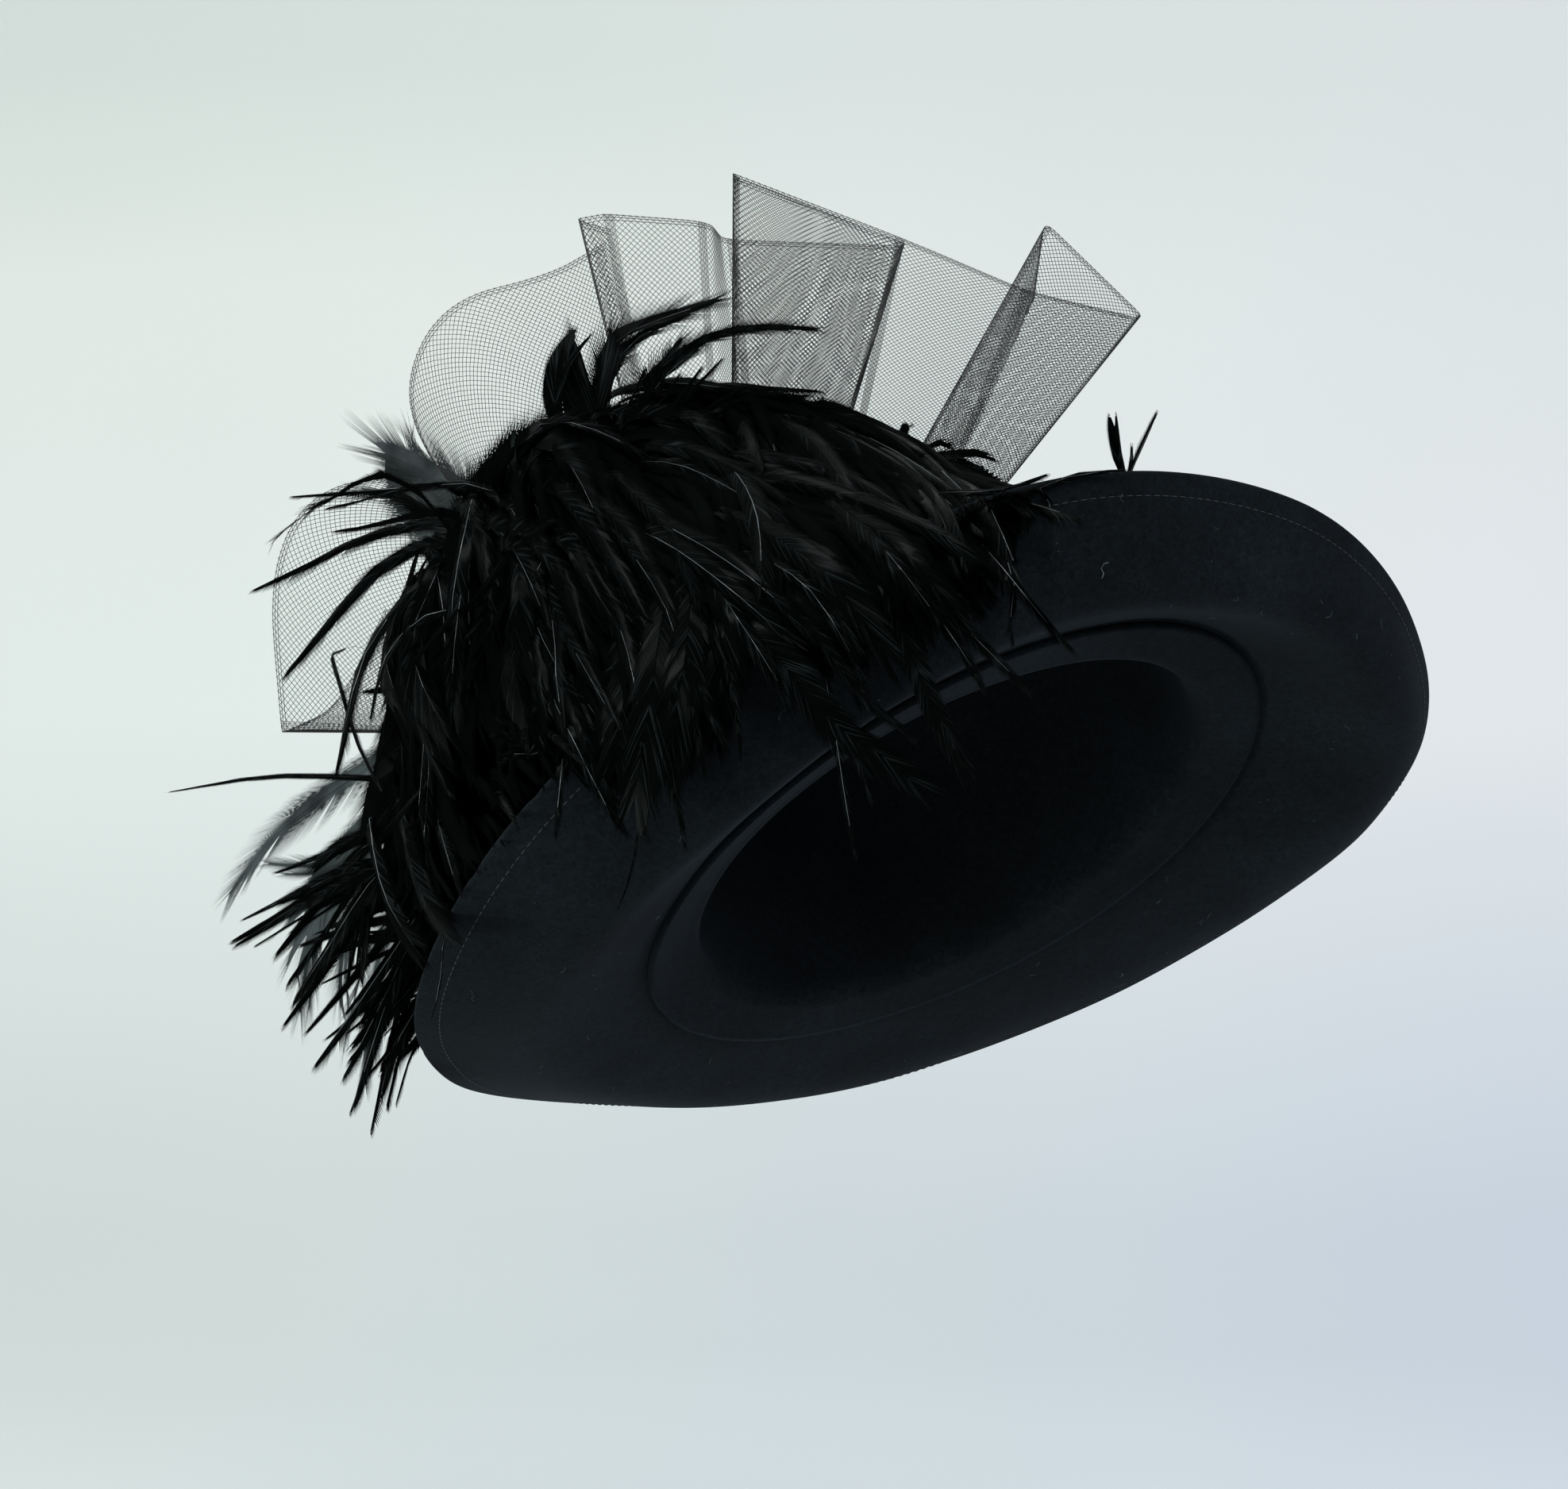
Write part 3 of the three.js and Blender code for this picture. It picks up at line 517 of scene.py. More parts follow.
class Heap:
    """Many small meshes gathered into one."""

    def __init__(self):
        self.points, self.faces, self.shown, self.uv, self.count = [], {3: [], 4: []}, {3: [], 4: []}, [], 0

    def add(self, points, faces, uv=None, look=0):
        self.points.append(points)
        for f in faces:
            self.faces[f.shape[1]].append(f + self.count)
            self.shown[f.shape[1]].append(np.full(len(f), look))
        self.uv.append(np.zeros((len(points), 2)) if uv is None else uv)
        self.count += len(points)

    def make(self, name, looks, slot):
        faces = [np.concatenate(f) for f in self.faces.values() if f]
        shown = np.concatenate([np.concatenate(f) for f in self.shown.values() if f])
        return add_mesh(name, np.concatenate(self.points), faces, looks, slot, np.concatenate(self.uv), shown)


def hem_line(face):
    """The stitch line on the brim's underside (0) or upper side (1), and the way out of the felt there."""
    degrees = np.linspace(0, 360, HEM_LINE_PLACES)
    rows = brim_walk(degrees)
    left = np.array([row[3][0] for row in rows])
    row = rows[int(np.argmin(np.where(left < 0, np.inf, abs(left - HEM_WIDTH))))]
    away = (FELT + ON_FELT) if face else -ON_FELT
    here, lower, above = (section_place(degrees, *row[:3], off + 0 * degrees) for off in (away, 0, 1))
    normal = above - lower
    return worn(here + normal * uneven(lower)[:, None]), worn(normal) * (1 if face else -1)


def make_stitches():
    heap = Heap()
    for face in (0, 1):
        line, out = hem_line(face)
        reach = reach_along(line)
        count = int(reach[-1] / (STITCH_LENGTH + STITCH_GAP))
        pitch = reach[-1] / count
        for i in range(count):
            share = np.linspace(0, 1, len(STITCH_SWELL))
            at = i * pitch + STITCH_LENGTH * share
            lift = STITCH_RISE * np.sin(np.pi * share) - STITCH_SUNK
            points = sampled(at, reach, line) + sampled(at, reach, out) * lift[:, None]
            heap.add(*tube(points, STITCH_RADIUS * np.array(STITCH_SWELL), THREAD_SIDES))
    heap.make("hem_stitches", THREAD_LOOK, "felt")


make_stitches()

# Lint on the brim: short loose hairs that lie on its faces
LINT_SEED = 41
LINT_COUNT = 240
GRID_END = 0.001
LINT_LENGTH = (1.2, 5.0)
LINT_RADIUS = 0.06
LINT_SPECK = (0.3, 1.0)
LINT_LONG_SHARE = 0.4
LINT_POINTS = 5
LINT_ROW_PITCH = 1.8
LINT_COLUMN_PITCH = 3.2


def grid_place(grid, row, column):
    """A place between a grid's points, by row and column."""
    row = min(max(row, 0), len(grid) - 1 - GRID_END)
    r, c = int(row), int(column // 1)
    s, t = row - r, column - c
    count = grid.shape[1]
    corners = [grid[r + i, (c + j) % count] for i in (0, 1) for j in (0, 1)]
    return (corners[0] * (1 - t) + corners[1] * t) * (1 - s) + (corners[2] * (1 - t) + corners[3] * t) * s


def make_lint():
    rand = random.Random(LINT_SEED)
    heap = Heap()
    walk = [row for row in brim_walk(ROUND) if row[3][0] > 0]
    waves = [uneven(section_place(ROUND, *row[:3], 0 * ROUND)) for row in walk]
    for away in (-LINT_RADIUS, FELT + LINT_RADIUS):
        grid = [section_place(ROUND, *row[:3], wave + away) for row, wave in zip(walk, waves)]
        grid = worn(np.array(grid))
        for _ in range(LINT_COUNT // 2):
            r, c = rand.uniform(1, len(walk) - 3), rand.uniform(0, AROUND)
            turn, bend = rand.uniform(0, 2 * math.pi), rand.gauss(0, 0.5)
            length = rand.uniform(*(LINT_LENGTH if rand.random() < LINT_LONG_SHARE else LINT_SPECK))
            step = length / (LINT_POINTS - 1)
            points = []
            for _ in range(LINT_POINTS):
                points.append(grid_place(grid, r, c))
                r += math.cos(turn) * step / LINT_ROW_PITCH
                c += math.sin(turn) * step / LINT_COLUMN_PITCH
                turn += bend
            heap.add(*tube(points, np.full(LINT_POINTS, LINT_RADIUS), STRAND_SIDES))
    heap.make("felt_lint", LINT_LOOK, "felt")


make_lint()

# The net band: one ribbon of crossing strands, pleated along the crown's shoulder. The tables are
# part.mjs's: the lower edge by angle and rise on the crown, the upper edge by place.
NET_WIDTH = 150
NET_SEAT = 0.52
RISE_PER_TURN = 0.5
NET_COLUMNS = ("around", "rise", "top", "share", "turn")
NET_FAN = [
    (31, 52, (31, 30, 208), 0, 0),
    (44, 62, (36, 66, 244), 0.12, 0),
    (20, 45, (75, 40, 201), 0.12, 0),
    (36, 50, (28, 21, 210), 0.2, 0),
    (62, 64, (-19, 18, 230), 0.3, 0),
    (118, 67, (-85, 22, 256), 0.05, 6),
    (68, 74, (-19, 33, 230), 0.05, 7),
    (116, 80, (-90, 44, 234), 0.2, 0),
    (123, 66, (-94, 17, 237), 0.3, 0),
    (146, 58, (-134, 15, 240), 0.2, 0),
    (152, 60, (-146, 22, 239), 0.2, 0),
    (142, 66, (-133, 36, 237), 0, 0),
]
NET_LOOPS = [
    (146, 67, (-136, 42, 233), 0, 0),
    (150, 64, (-160, 66, 224), 0.4, 0),
    (154, 62, (-206, 84, 216), 0.5, 0),
    (158, 58, (-224, 90, 180), 0.5, 0),
    (161, 55, (-205, 82, 142), 0.5, 0),
    (164, 52, (-190, 58, 138), 0.5, 0),
    (167, 50, (-244, 50, 144), 0.5, 0),
    (172, 46, (-272, 58, 112), 0.5, 0),
    (178, 42, (-266, 62, 42), 0.12, 4),
    (180, 52, (-246, 74, 52), 0.4, 0),
    (182, 60, (-228, 82, 92), 0, 0),
]
PANEL_STEPS = 8
FOLD_STEPS = 10
NET_LEAST_STEP = 0.3
FOOT_WEIGHT, TOP_WEIGHT = 0.3, 0.7
STRAND_PITCH = 2.1
STRAND_RISE = 2.3
STRAND_RADIUS = 0.13
STRAND_TOLERANCE = 0.12
STRAND_PLACES = 76
FRAY = 0.6
EDGE_CORD_STEP = 1.5
EDGE_CORD_RADIUS = STRAND_RADIUS * 1.15
EDGE_CORDS = (0.3, 1.2, 2.3)
FOLD_CORDS = (-1.5, -1, -0.5, 0, 0.5, 1, 1.5)
SOFT_FOLD = 0.35


def net_line(table):
    """The band's places in order, as rows of around, rise, top x, top y and top z, folds rounded."""
    folds, middles = [], [False]
    for index, row in enumerate(table):
        at = dict(zip(NET_COLUMNS, row))
        x, y, z = at["top"]
        for step in (0,) if at["turn"] == 0 else (-at["turn"] / 2, at["turn"] / 2):
            place = np.array([at["around"], at["rise"] + step * RISE_PER_TURN, x, y + step, z], float)
            folds.append((place, index, at["share"]))
    line = [folds[0][0]]
    for i in range(1, len(folds) - 1):
        (before, b, _), (here, h, share), (after, a, _) = folds[i - 1 : i + 2]
        into = here + (before - here) * (0.5 if b == h else share)
        out_of = here + (after - here) * (0.5 if a == h else share)
        last = line[-1]
        line += [last + (into - last) * k / PANEL_STEPS for k in range(1, PANEL_STEPS)]
        middles += [False] * (PANEL_STEPS - 1)
        for k in range(FOLD_STEPS + 1):
            t = k / FOLD_STEPS
            middles.append(k == FOLD_STEPS // 2 and share < SOFT_FOLD)
            line.append((into * (1 - t) + here * t) * (1 - t) + (here * (1 - t) + out_of * t) * t)
    last = line[-1]
    line += [last + (folds[-1][0] - last) * k / PANEL_STEPS for k in range(1, PANEL_STEPS + 1)]
    middles += [False] * PANEL_STEPS
    line = np.array(line)
    keep = np.r_[True, np.linalg.norm(np.diff(line[:, 2:], axis=0), axis=1) > NET_LEAST_STEP]
    return line[keep], np.array(middles)[keep]


class Band:
    """The band's surface: a place for any distance along it and up it, in millimetres."""

    def __init__(self, table):
        line, middles = net_line(table)
        self.foot = worn(crown_point(line[:, 0], line[:, 1], FELT + NET_SEAT))
        self.top = line[:, 2:]
        self.reach = reach_along(self.foot * FOOT_WEIGHT + self.top * TOP_WEIGHT)
        self.length = self.reach[-1]
        self.folds = self.reach[middles]

    def at(self, along, up):
        share = (np.asarray(up) / NET_WIDTH)[:, None]
        foot, top = sampled(along, self.reach, self.foot), sampled(along, self.reach, self.top)
        return foot * (1 - share) + top * share


def thinned(points, tolerance):
    """The points of a line that it needs to stay within a distance of its own course."""
    keep = np.zeros(len(points), bool)
    keep[[0, -1]] = True
    todo = [(0, len(points) - 1)]
    while todo:
        a, b = todo.pop()
        if b - a < 2:
            continue
        way, rest = points[b] - points[a], points[a + 1 : b] - points[a]
        share = np.clip(rest @ way / max(way @ way, TINY), 0, 1)
        off = np.linalg.norm(rest - share[:, None] * way, axis=1)
        far = int(off.argmax())
        if off[far] > tolerance:
            keep[a + 1 + far] = True
            todo += [(a, a + 1 + far), (a + 1 + far, b)]
    return points[keep]


def make_net(name, table, node_name, seed):
    """The band's strands, crossing both ways, the cords of its two edges and those of its sharp folds."""
    rand = random.Random(seed)
    band = Band(table)
    heap = Heap()

    def add_cord(along, up, radius):
        points = thinned(band.at(along, up), STRAND_TOLERANCE)
        heap.add(*tube(points, np.full(len(points), radius), STRAND_SIDES))

    lean = NET_WIDTH * STRAND_PITCH / STRAND_RISE
    up = np.linspace(0, NET_WIDTH, STRAND_PLACES)
    count = int((band.length + lean) / STRAND_PITCH)
    for side in (1, -1):
        for k in range(count):
            start = k * STRAND_PITCH - (lean if side > 0 else 0)
            along = start + side * lean * up / NET_WIDTH
            start_fray, end_fray = rand.uniform(0, 2 * FRAY), rand.uniform(0, 2 * FRAY)
            inside = (along > start_fray - FRAY) & (along < band.length - end_fray + FRAY)
            if inside.sum() >= 3:
                add_cord(along[inside], up[inside], STRAND_RADIUS)
    for inset in EDGE_CORDS:
        for level in (inset, NET_WIDTH - inset):
            along = np.linspace(0, band.length, int(band.length / EDGE_CORD_STEP))
            add_cord(along, np.full(len(along), level), EDGE_CORD_RADIUS)
    for fold in band.folds:
        for beside in FOLD_CORDS:
            add_cord(np.full(len(up), fold + beside), up, STRAND_RADIUS)
    made = heap.make(name, NET_LOOK, "net")
    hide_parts(node_name)


make_net("net_fan_strands", NET_FAN, "net_fan", 11)
make_net("net_loop_strands", NET_LOOPS, "net_loops", 12)

# Feathers. Each row is one feather: its place as seen from the hat's right, as points on a plan in
# pixels of 0.3 mm at the origin; its width in millimetres; and its kind, a hackle where none is named. A
# point's third value is its depth (y, in millimetres); without one it lies on the mound of the others.
PLAN_SCALE = 5000
PLAN_ORIGIN = (1202, 1056)
PLAN_BACK = 1500


def on_plan(x, y, depth):
    share = (PLAN_BACK + depth) / PLAN_SCALE
    return np.array([(x - PLAN_ORIGIN[0]) * share, depth, (PLAN_ORIGIN[1] - y) * share])


# The mound that the feathers make: plan point and depth
MOUND = [
    (540, 700, -35), (560, 640, -30), (600, 620, -32), (650, 560, -24), (700, 505, -14),
    (760, 485, -5), (830, 482, 0), (900, 480, 0), (1000, 490, -5), (1100, 530, -15),
    (1200, 590, -52), (1290, 612, -108), (1340, 609, -136), (1200, 655, -143),
    (1033, 729, -148), (900, 825, -149), (758, 936, -146), (650, 1050, -128),
    (556, 1193, -104), (700, 650, -76), (800, 640, -82), (900, 620, -88), (1000, 610, -92),
    (1100, 620, -102), (1200, 630, -124), (800, 780, -122), (700, 800, -104),
    (620, 850, -88), (560, 900, -64), (620, 1000, -104), (520, 850, -46), (500, 950, -52),
    (480, 1050, -52), (520, 1130, -76), (500, 1250, -62), (1150, 987, -136),
    (1060, 900, -142), (900, 1050, -140), (780, 1150, -128), (1300, 870, -140),
]
BURST = (664, 950, -112)
FEATHER_ROWS = {
    "crest": [
        ([(746, 506, 5), (820, 481, 0), (880, 482, -8), (941, 492, -14)], 7),
        ([(780, 506, 5), (890, 481, -6), (960, 484, -12), (1030, 490, -18)], 6),
        ([(770, 545), (808, 520), (860, 524), (912, 562)], 8),
        ([(790, 560), (860, 562), (931, 592), (990, 628)], 9),
        ([(860, 500, 0), (925, 512, -14), (950, 552), (962, 590)], 8),
        ([(930, 515, 4), (1000, 528, -16), (1060, 545), (1150, 596), (1240, 672)], 8),
        ([(920, 510, 4), (1005, 540), (1064, 610), (1112, 700)], 9),
        ([(910, 600), (1000, 606), (1083, 631), (1193, 677), (1226, 709)], 9),
        ([(900, 570), (966, 572), (1052, 591), (1144, 640)], 8),
        ([(1020, 600), (1089, 664), (1138, 720), (1176, 769), (1216, 791)], 8),
        ([(1050, 540, -10), (1113, 566), (1163, 603), (1199, 648), (1220, 720)], 8),
        ([(1020, 515, 4), (1090, 532, -14), (1160, 570), (1235, 640)], 8),
        ([(1130, 580), (1224, 609), (1256, 658), (1292, 745)], 7),
        ([(1040, 640), (1110, 670), (1180, 740), (1220, 806)], 9),
        ([(1140, 590), (1248, 621), (1298, 634), (1357, 652)], 9),
        ([(1170, 610), (1267, 720), (1310, 775), (1357, 825)], 6),
        ([(1240, 650), (1276, 726), (1273, 775), (1278, 813)], 4),
    ],
    "sweep": [
        ([(800, 640), (844, 664), (899, 695), (966, 744), (1004, 788)], 8),
        ([(790, 660), (850, 690), (930, 750), (1000, 812)], 9),
        ([(750, 582), (795, 618), (845, 675), (882, 765)], 8),
        ([(890, 570), (929, 597), (954, 652), (960, 735)], 9, "leaf"),
        ([(900, 640), (966, 670), (1040, 720), (1077, 769), (1121, 831)], 11, "leaf"),
        ([(900, 730), (1009, 781), (1071, 861), (1113, 897), (1157, 938)], 6),
        ([(940, 690), (1009, 732), (1052, 787), (1090, 862)], 5),
        ([(900, 760), (972, 818), (1040, 904), (1113, 953), (1153, 989)], 13, "broad"),
        ([(1100, 720), (1141, 805), (1169, 879), (1199, 934), (1213, 972)], 8, "leaf"),
        ([(1130, 700), (1187, 784), (1218, 830), (1241, 873)], 5),
        ([(1160, 730), (1218, 793), (1261, 836), (1299, 875)], 5),
        ([(1030, 800), (1049, 904), (1064, 1002), (1079, 1090)], 3),
        ([(1040, 860), (1071, 934), (1089, 983), (1099, 1016)], 3),
        ([(840, 780), (868, 867), (880, 940), (891, 984)], 4),
        ([(820, 740), (862, 818), (893, 897), (920, 951)], 5),
        ([(890, 760), (920, 854), (929, 910), (933, 960)], 3),
        ([(850, 700), (831, 793), (819, 879), (807, 953), (797, 1015)], 18, "broad"),
        ([(870, 700), (866, 800), (850, 900), (838, 980)], 14, "broad"),
        ([(870, 690), (930, 780), (975, 850), (1000, 900)], 7),
        ([(940, 640), (1000, 690), (1050, 760), (1078, 820)], 8),
        ([(845, 930), (852, 1000), (862, 1070)], 3),
    ],
    "curl": [
        ([(640, 600, -20), (672, 536, -30), (714, 529), (763, 545), (806, 568)], 6),
        ([(648, 640), (659, 570), (690, 563), (721, 590), (758, 665)], 7),
        ([(664, 640), (672, 609), (709, 627), (764, 701), (815, 780)], 7),
        ([(632, 700), (632, 672), (650, 668), (702, 720), (746, 825)], 7),
        ([(690, 690), (700, 676), (716, 690), (745, 740), (780, 792)], 6),
        ([(632, 720), (628, 690), (640, 684), (665, 730), (690, 790)], 6),
        ([(720, 620), (790, 690), (840, 770), (862, 850)], 8),
        ([(740, 700), (780, 790), (800, 870), (808, 950)], 8),
        ([(700, 600), (760, 640), (810, 700), (850, 780)], 8),
        ([(632, 640, -30), (640, 578, -32), (672, 540, -32), (716, 532, -30)], 15, "wisp"),
    ],
    "fall": [
        ([(670, 700), (702, 781), (739, 848), (780, 920)], 6),
        ([(690, 820), (721, 891), (745, 953), (789, 1053)], 5),
        ([(680, 720), (696, 793), (699, 854), (709, 918)], 6),
        ([(640, 670), (653, 732), (644, 824), (664, 918)], 10, "leaf"),
        ([(596, 610), (586, 652), (567, 756), (567, 906)], 9, "leaf"),
        ([(575, 620), (592, 652), (610, 720), (620, 798)], 7),
        ([(560, 690), (537, 744), (515, 818), (561, 930)], 11, "leaf"),
        ([(510, 810), (518, 867), (537, 940), (566, 1005)], 5),
        ([(530, 860), (531, 934), (525, 1014), (528, 1054)], 3),
        ([(690, 870), (720, 930), (760, 1010), (790, 1052)], 5),
        ([(620, 1000), (635, 1018), (652, 1048)], 3),
        ([(684, 917), (708, 938), (734, 963)], 3),
        ([(708, 950), (702, 1010), (697, 1054)], 3),
        ([(500, 1000), (512, 1075), (531, 1131), (566, 1184)], 8, "leaf"),
        ([(548, 1030), (559, 1070), (577, 1130)], 4),
    ],
    "stray": [
        ([(1180, 620, -110), (1258, 617, -124), (1320, 597, -118)], 3.5),
        ([(1210, 640, -114), (1290, 622, -128), (1350, 600, -127), (1420, 592, -122)], 3),
    ],
    "quills": [
        ([(812, 1020), (804, 1045), (794, 1100), (775, 1151)], 1.2),
        ([(557, 1170), (555, 1200), (551, 1246), (540, 1288)], 1.2),
    ],
    "upright": [
        ([(756, 496, -6), (759, 442, -6), (799, 411, -8), (852, 392, -9), (906, 373, -10)], 14, "wisp"),
        ([(750, 505, -4), (760, 462, -5), (784, 436, -6), (820, 416, -8)], 12, "wisp"),
        ([(760, 505, -8), (768, 466, -8), (800, 424, -9), (868, 392, -10)], 9, "wisp"),
        ([(812, 490, -4), (839, 449, -6), (859, 422, -8)], 9, "wisp"),
        ([(822, 490, -6), (846, 462, -8), (880, 436, -9)], 8, "wisp"),
        ([(820, 490, -4), (852, 446, -6), (900, 420, -8), (960, 410, -9), (1033, 413, -10)], 8, "wisp"),
        ([(704, 548, -20), (696, 510, -22), (701, 475, -22), (716, 444, -20)], 10, "blade"),
        ([(752, 576, -17), (750, 530, -17), (748, 496, -17)], 21, "blade"),
        ([(538, 742), (521, 790), (521, 840), (533, 880)], 9, "blade"),
        ([(587, 690), (576, 760), (568, 830), (568, 890)], 5, "blade"),
    ],
    "spray": [
        ([(640, 690, -50), (568, 668, -30), (504, 624, -14), (420, 620, -8), (340, 676, -6)], 12, "wisp"),
        ([(640, 640, -45), (600, 608, -30), (500, 612, -14), (360, 622, -8)], 4),
        ([(640, 680, -50), (576, 656, -30), (480, 666, -22), (412, 694, -20), (312, 741, -20)], 6),
        ([(640, 700, -55), (568, 680, -35), (500, 698, -32), (440, 748, -30), (352, 850, -28)], 7),
        ([(620, 740, -60), (560, 718, -45), (504, 756, -38), (452, 832, -30), (418, 974, -22)], 7),
        ([(600, 760, -60), (528, 776, -50), (480, 830, -40), (462, 905, -35)], 5),
    ],
    "back": [
        ([(580, 1040, -30), (516, 1076, -26), (440, 1095, -22), (352, 1136, -20)], 7),
        ([(550, 1070, -28), (438, 1108, -26), (380, 1138, -22), (290, 1192, -20)], 5),
        ([(550, 1030, -30), (482, 1046, -28), (430, 1061, -26), (388, 1094, -24)], 6),
        ([(560, 1120, -20), (533, 1146, -22), (456, 1164, -22), (372, 1193, -20)], 4),
        ([(560, 1150, -16), (520, 1180, -20), (449, 1184, -22)], 4),
        ([(530, 1040, -30), (456, 1121, -26), (421, 1177, -22), (365, 1264, -20)], 7),
        ([(530, 1070, -30), (470, 1121, -26), (456, 1182, -25), (451, 1238, -25)], 6),
        (
            [(560, 1080, -24), (525, 1150, -24), (482, 1216, -26), (438, 1281, -26), (393, 1343, -26)],
            7,
        ),
        ([(560, 1130, -16), (530, 1190, -20), (490, 1250, -24), (443, 1393, -26)], 7),
        ([(560, 1170, -14), (532, 1226, -18), (499, 1263, -22), (438, 1334, -24)], 6),
        ([(560, 1230, -12), (520, 1290, -18), (484, 1333, -22)], 6),
        ([(560, 1210, -12), (530, 1260, -18), (500, 1310, -22), (478, 1380, -24)], 6),
    ],
    "lone": [
        ([(620, 990, -50), (456, 980, -20), (331, 978, -6), (202, 998, 0)], 2.6),
    ],
    "backing": [
        ([(640, 780, -50), (575, 850, -42), (522, 930, -36), (494, 1010, -34)], 24, "broad"),
        ([(650, 860, -55), (590, 930, -48), (535, 1000, -42), (506, 1080, -38)], 24, "broad"),
        ([(660, 930, -60), (600, 1000, -52), (552, 1070, -48), (524, 1140, -44)], 24, "broad"),
        ([(620, 700, -40), (560, 760, -36), (520, 840, -32), (490, 930, -30)], 22, "broad"),
        ([(740, 560, -8), (820, 524, -4), (920, 520, -4), (1020, 540, -14)], 26, "broad"),
        ([(860, 560, -6), (960, 540, -8), (1060, 566, -24), (1150, 610, -50)], 26, "broad"),
        ([(660, 620, -20), (700, 570, -16), (760, 552, -10), (840, 570, -10)], 24, "broad"),
        ([(640, 700, -30), (640, 640, -26), (690, 600, -22), (760, 620, -20)], 24, "broad"),
        ([(700, 950, -50), (650, 1010, -40), (600, 1080, -30), (568, 1150, -22)], 24, "broad"),
        ([(740, 930, -60), (690, 990, -50), (640, 1040, -40), (610, 1090, -30)], 24, "broad"),
    ],
    "burst": [
        ([BURST, *ends], 3, "wisp")
        for ends in (
            [(648, 930, -116), (630, 924, -118), (616, 930, -116)],
            [(652, 926, -117), (640, 912, -120), (624, 908, -118)],
            [(664, 922, -117), (662, 904, -120), (672, 890, -118)],
            [(676, 930, -117), (690, 920, -119), (706, 922, -117)],
            [(680, 946, -117), (694, 950, -118), (704, 962, -116)],
            [(650, 948, -116), (636, 956, -117), (626, 970, -115)],
        )
    ],
    "soft": [
        ([(545, 900, 10), (470, 960, 24), (350, 1045, 45), (282, 1130, 58)], 18, "soft"),
        ([(540, 960, 10), (470, 1040, 24), (420, 1110, 32), (382, 1180, 36)], 24, "broad"),
        ([(520, 1080, 30), (391, 1091, 40), (330, 1088, 44)], 9, "soft"),
        ([(500, 1010, 16), (420, 1090, 30), (389, 1180, 34), (374, 1280, 34)], 18, "soft"),
        ([(520, 1060, 16), (460, 1130, 26), (432, 1200, 28), (437, 1270, 28)], 15, "soft"),
        ([(530, 1120, 14), (480, 1190, 22), (462, 1280, 26), (456, 1366, 26)], 13, "soft"),
        ([(650, 660, 40), (580, 625, 80), (520, 585, 92), (478, 566, 94)], 30, "wisp"),
        ([(640, 680, 40), (570, 655, 80), (530, 620, 90), (520, 590, 94)], 26, "broad"),
    ],
    "sprig": [
        ([(1416, 612, 26), (1408, 570, 18), (1404, 536, 15)], 4.5, "blade"),
        ([(1416, 612, 26), (1440, 560, 22), (1458, 520, 24)], 2.4),
        ([(1418, 612, 26), (1425, 585, 26), (1426, 562, 26)], 2),
    ],
}
# Where the close mass of feathers ends towards the brim's face, as plan points from left to right. Only
# feathers of the table reach past it.
MASS_EDGE = [
    (480, 1330), (540, 1230), (580, 1149), (702, 1000), (795, 1030), (868, 985), (930, 920), (966, 830),
    (1052, 825), (1113, 825), (1224, 800), (1276, 760), (1292, 650), (1340, 640),
]
MASS_RIGHT = 1290
# The top of the mass, as plan points from left to right
TOP_EDGE = [
    (480, 700), (560, 640), (600, 590), (640, 550), (682, 536), (725, 534), (767, 500), (831, 484),
    (905, 480), (1011, 490), (1091, 518), (1160, 550), (1240, 604), (1340, 612),
]
# How each kind of feather is made: how wide the vane is along it (powers of the way to the tip), how its
# barbs lean at the root and at the tip, the share of a barb's length over which they hold together, how
# far their ends part in groups, and how far the vane cups
KINDS = {
    "hackle": {"swell": 0.5, "taper": 0.85, "lean": (28, 7), "solid": 0.62, "loose": 0.06, "cup": 0.25},
    "leaf": {"swell": 0.7, "taper": 0.6, "lean": (32, 10), "solid": 0.78, "loose": 0.03, "cup": 0.2},
    "blade": {"swell": 0.7, "taper": 0.5, "lean": (32, 14), "solid": 0.86, "loose": 0.02, "cup": 0.2},
    "broad": {"swell": 0.5, "taper": 0.45, "lean": (36, 16), "solid": 0.7, "loose": 0.08, "cup": 0.12},
    "downy": {"swell": 0.35, "taper": 0.6, "lean": (44, 16), "solid": 0.12, "loose": 0.2, "cup": 0.05},
    "soft": {"swell": 0.5, "taper": 0.6, "lean": (38, 16), "solid": 0.15, "loose": 0.05, "cup": 0.05},
    "wisp": {"swell": 0.3, "taper": 0.7, "lean": (36, 12), "solid": 0.4, "loose": 0.12, "cup": 0.1},
}
SHAFT_STEPS = 14
CURVE_STEPS = 14
GLINTS = 0.55
GLINT_START = (0.45, 0.75)
GLINT_RADIUS = 0.05
BARB_STEP = 0.6
BARBS_PER_ROW = 5
BARBS_PER_GROUP = 9
CLEAR_OF_FELT = 2.6
SHORT_OF_FELT = 0.85
MOUND_UNIT = 100
MOUND_EASE = 0.02
HAT_MIDDLE = np.array([-45.0, 20.0, 30.0])
BLADE_FACE = np.array([0.1, -1.0, 0.1])
TOWARDS_VIEW = (0, -0.6, 0)
FACE_SCATTER = 0.2
TWIST = 0.7
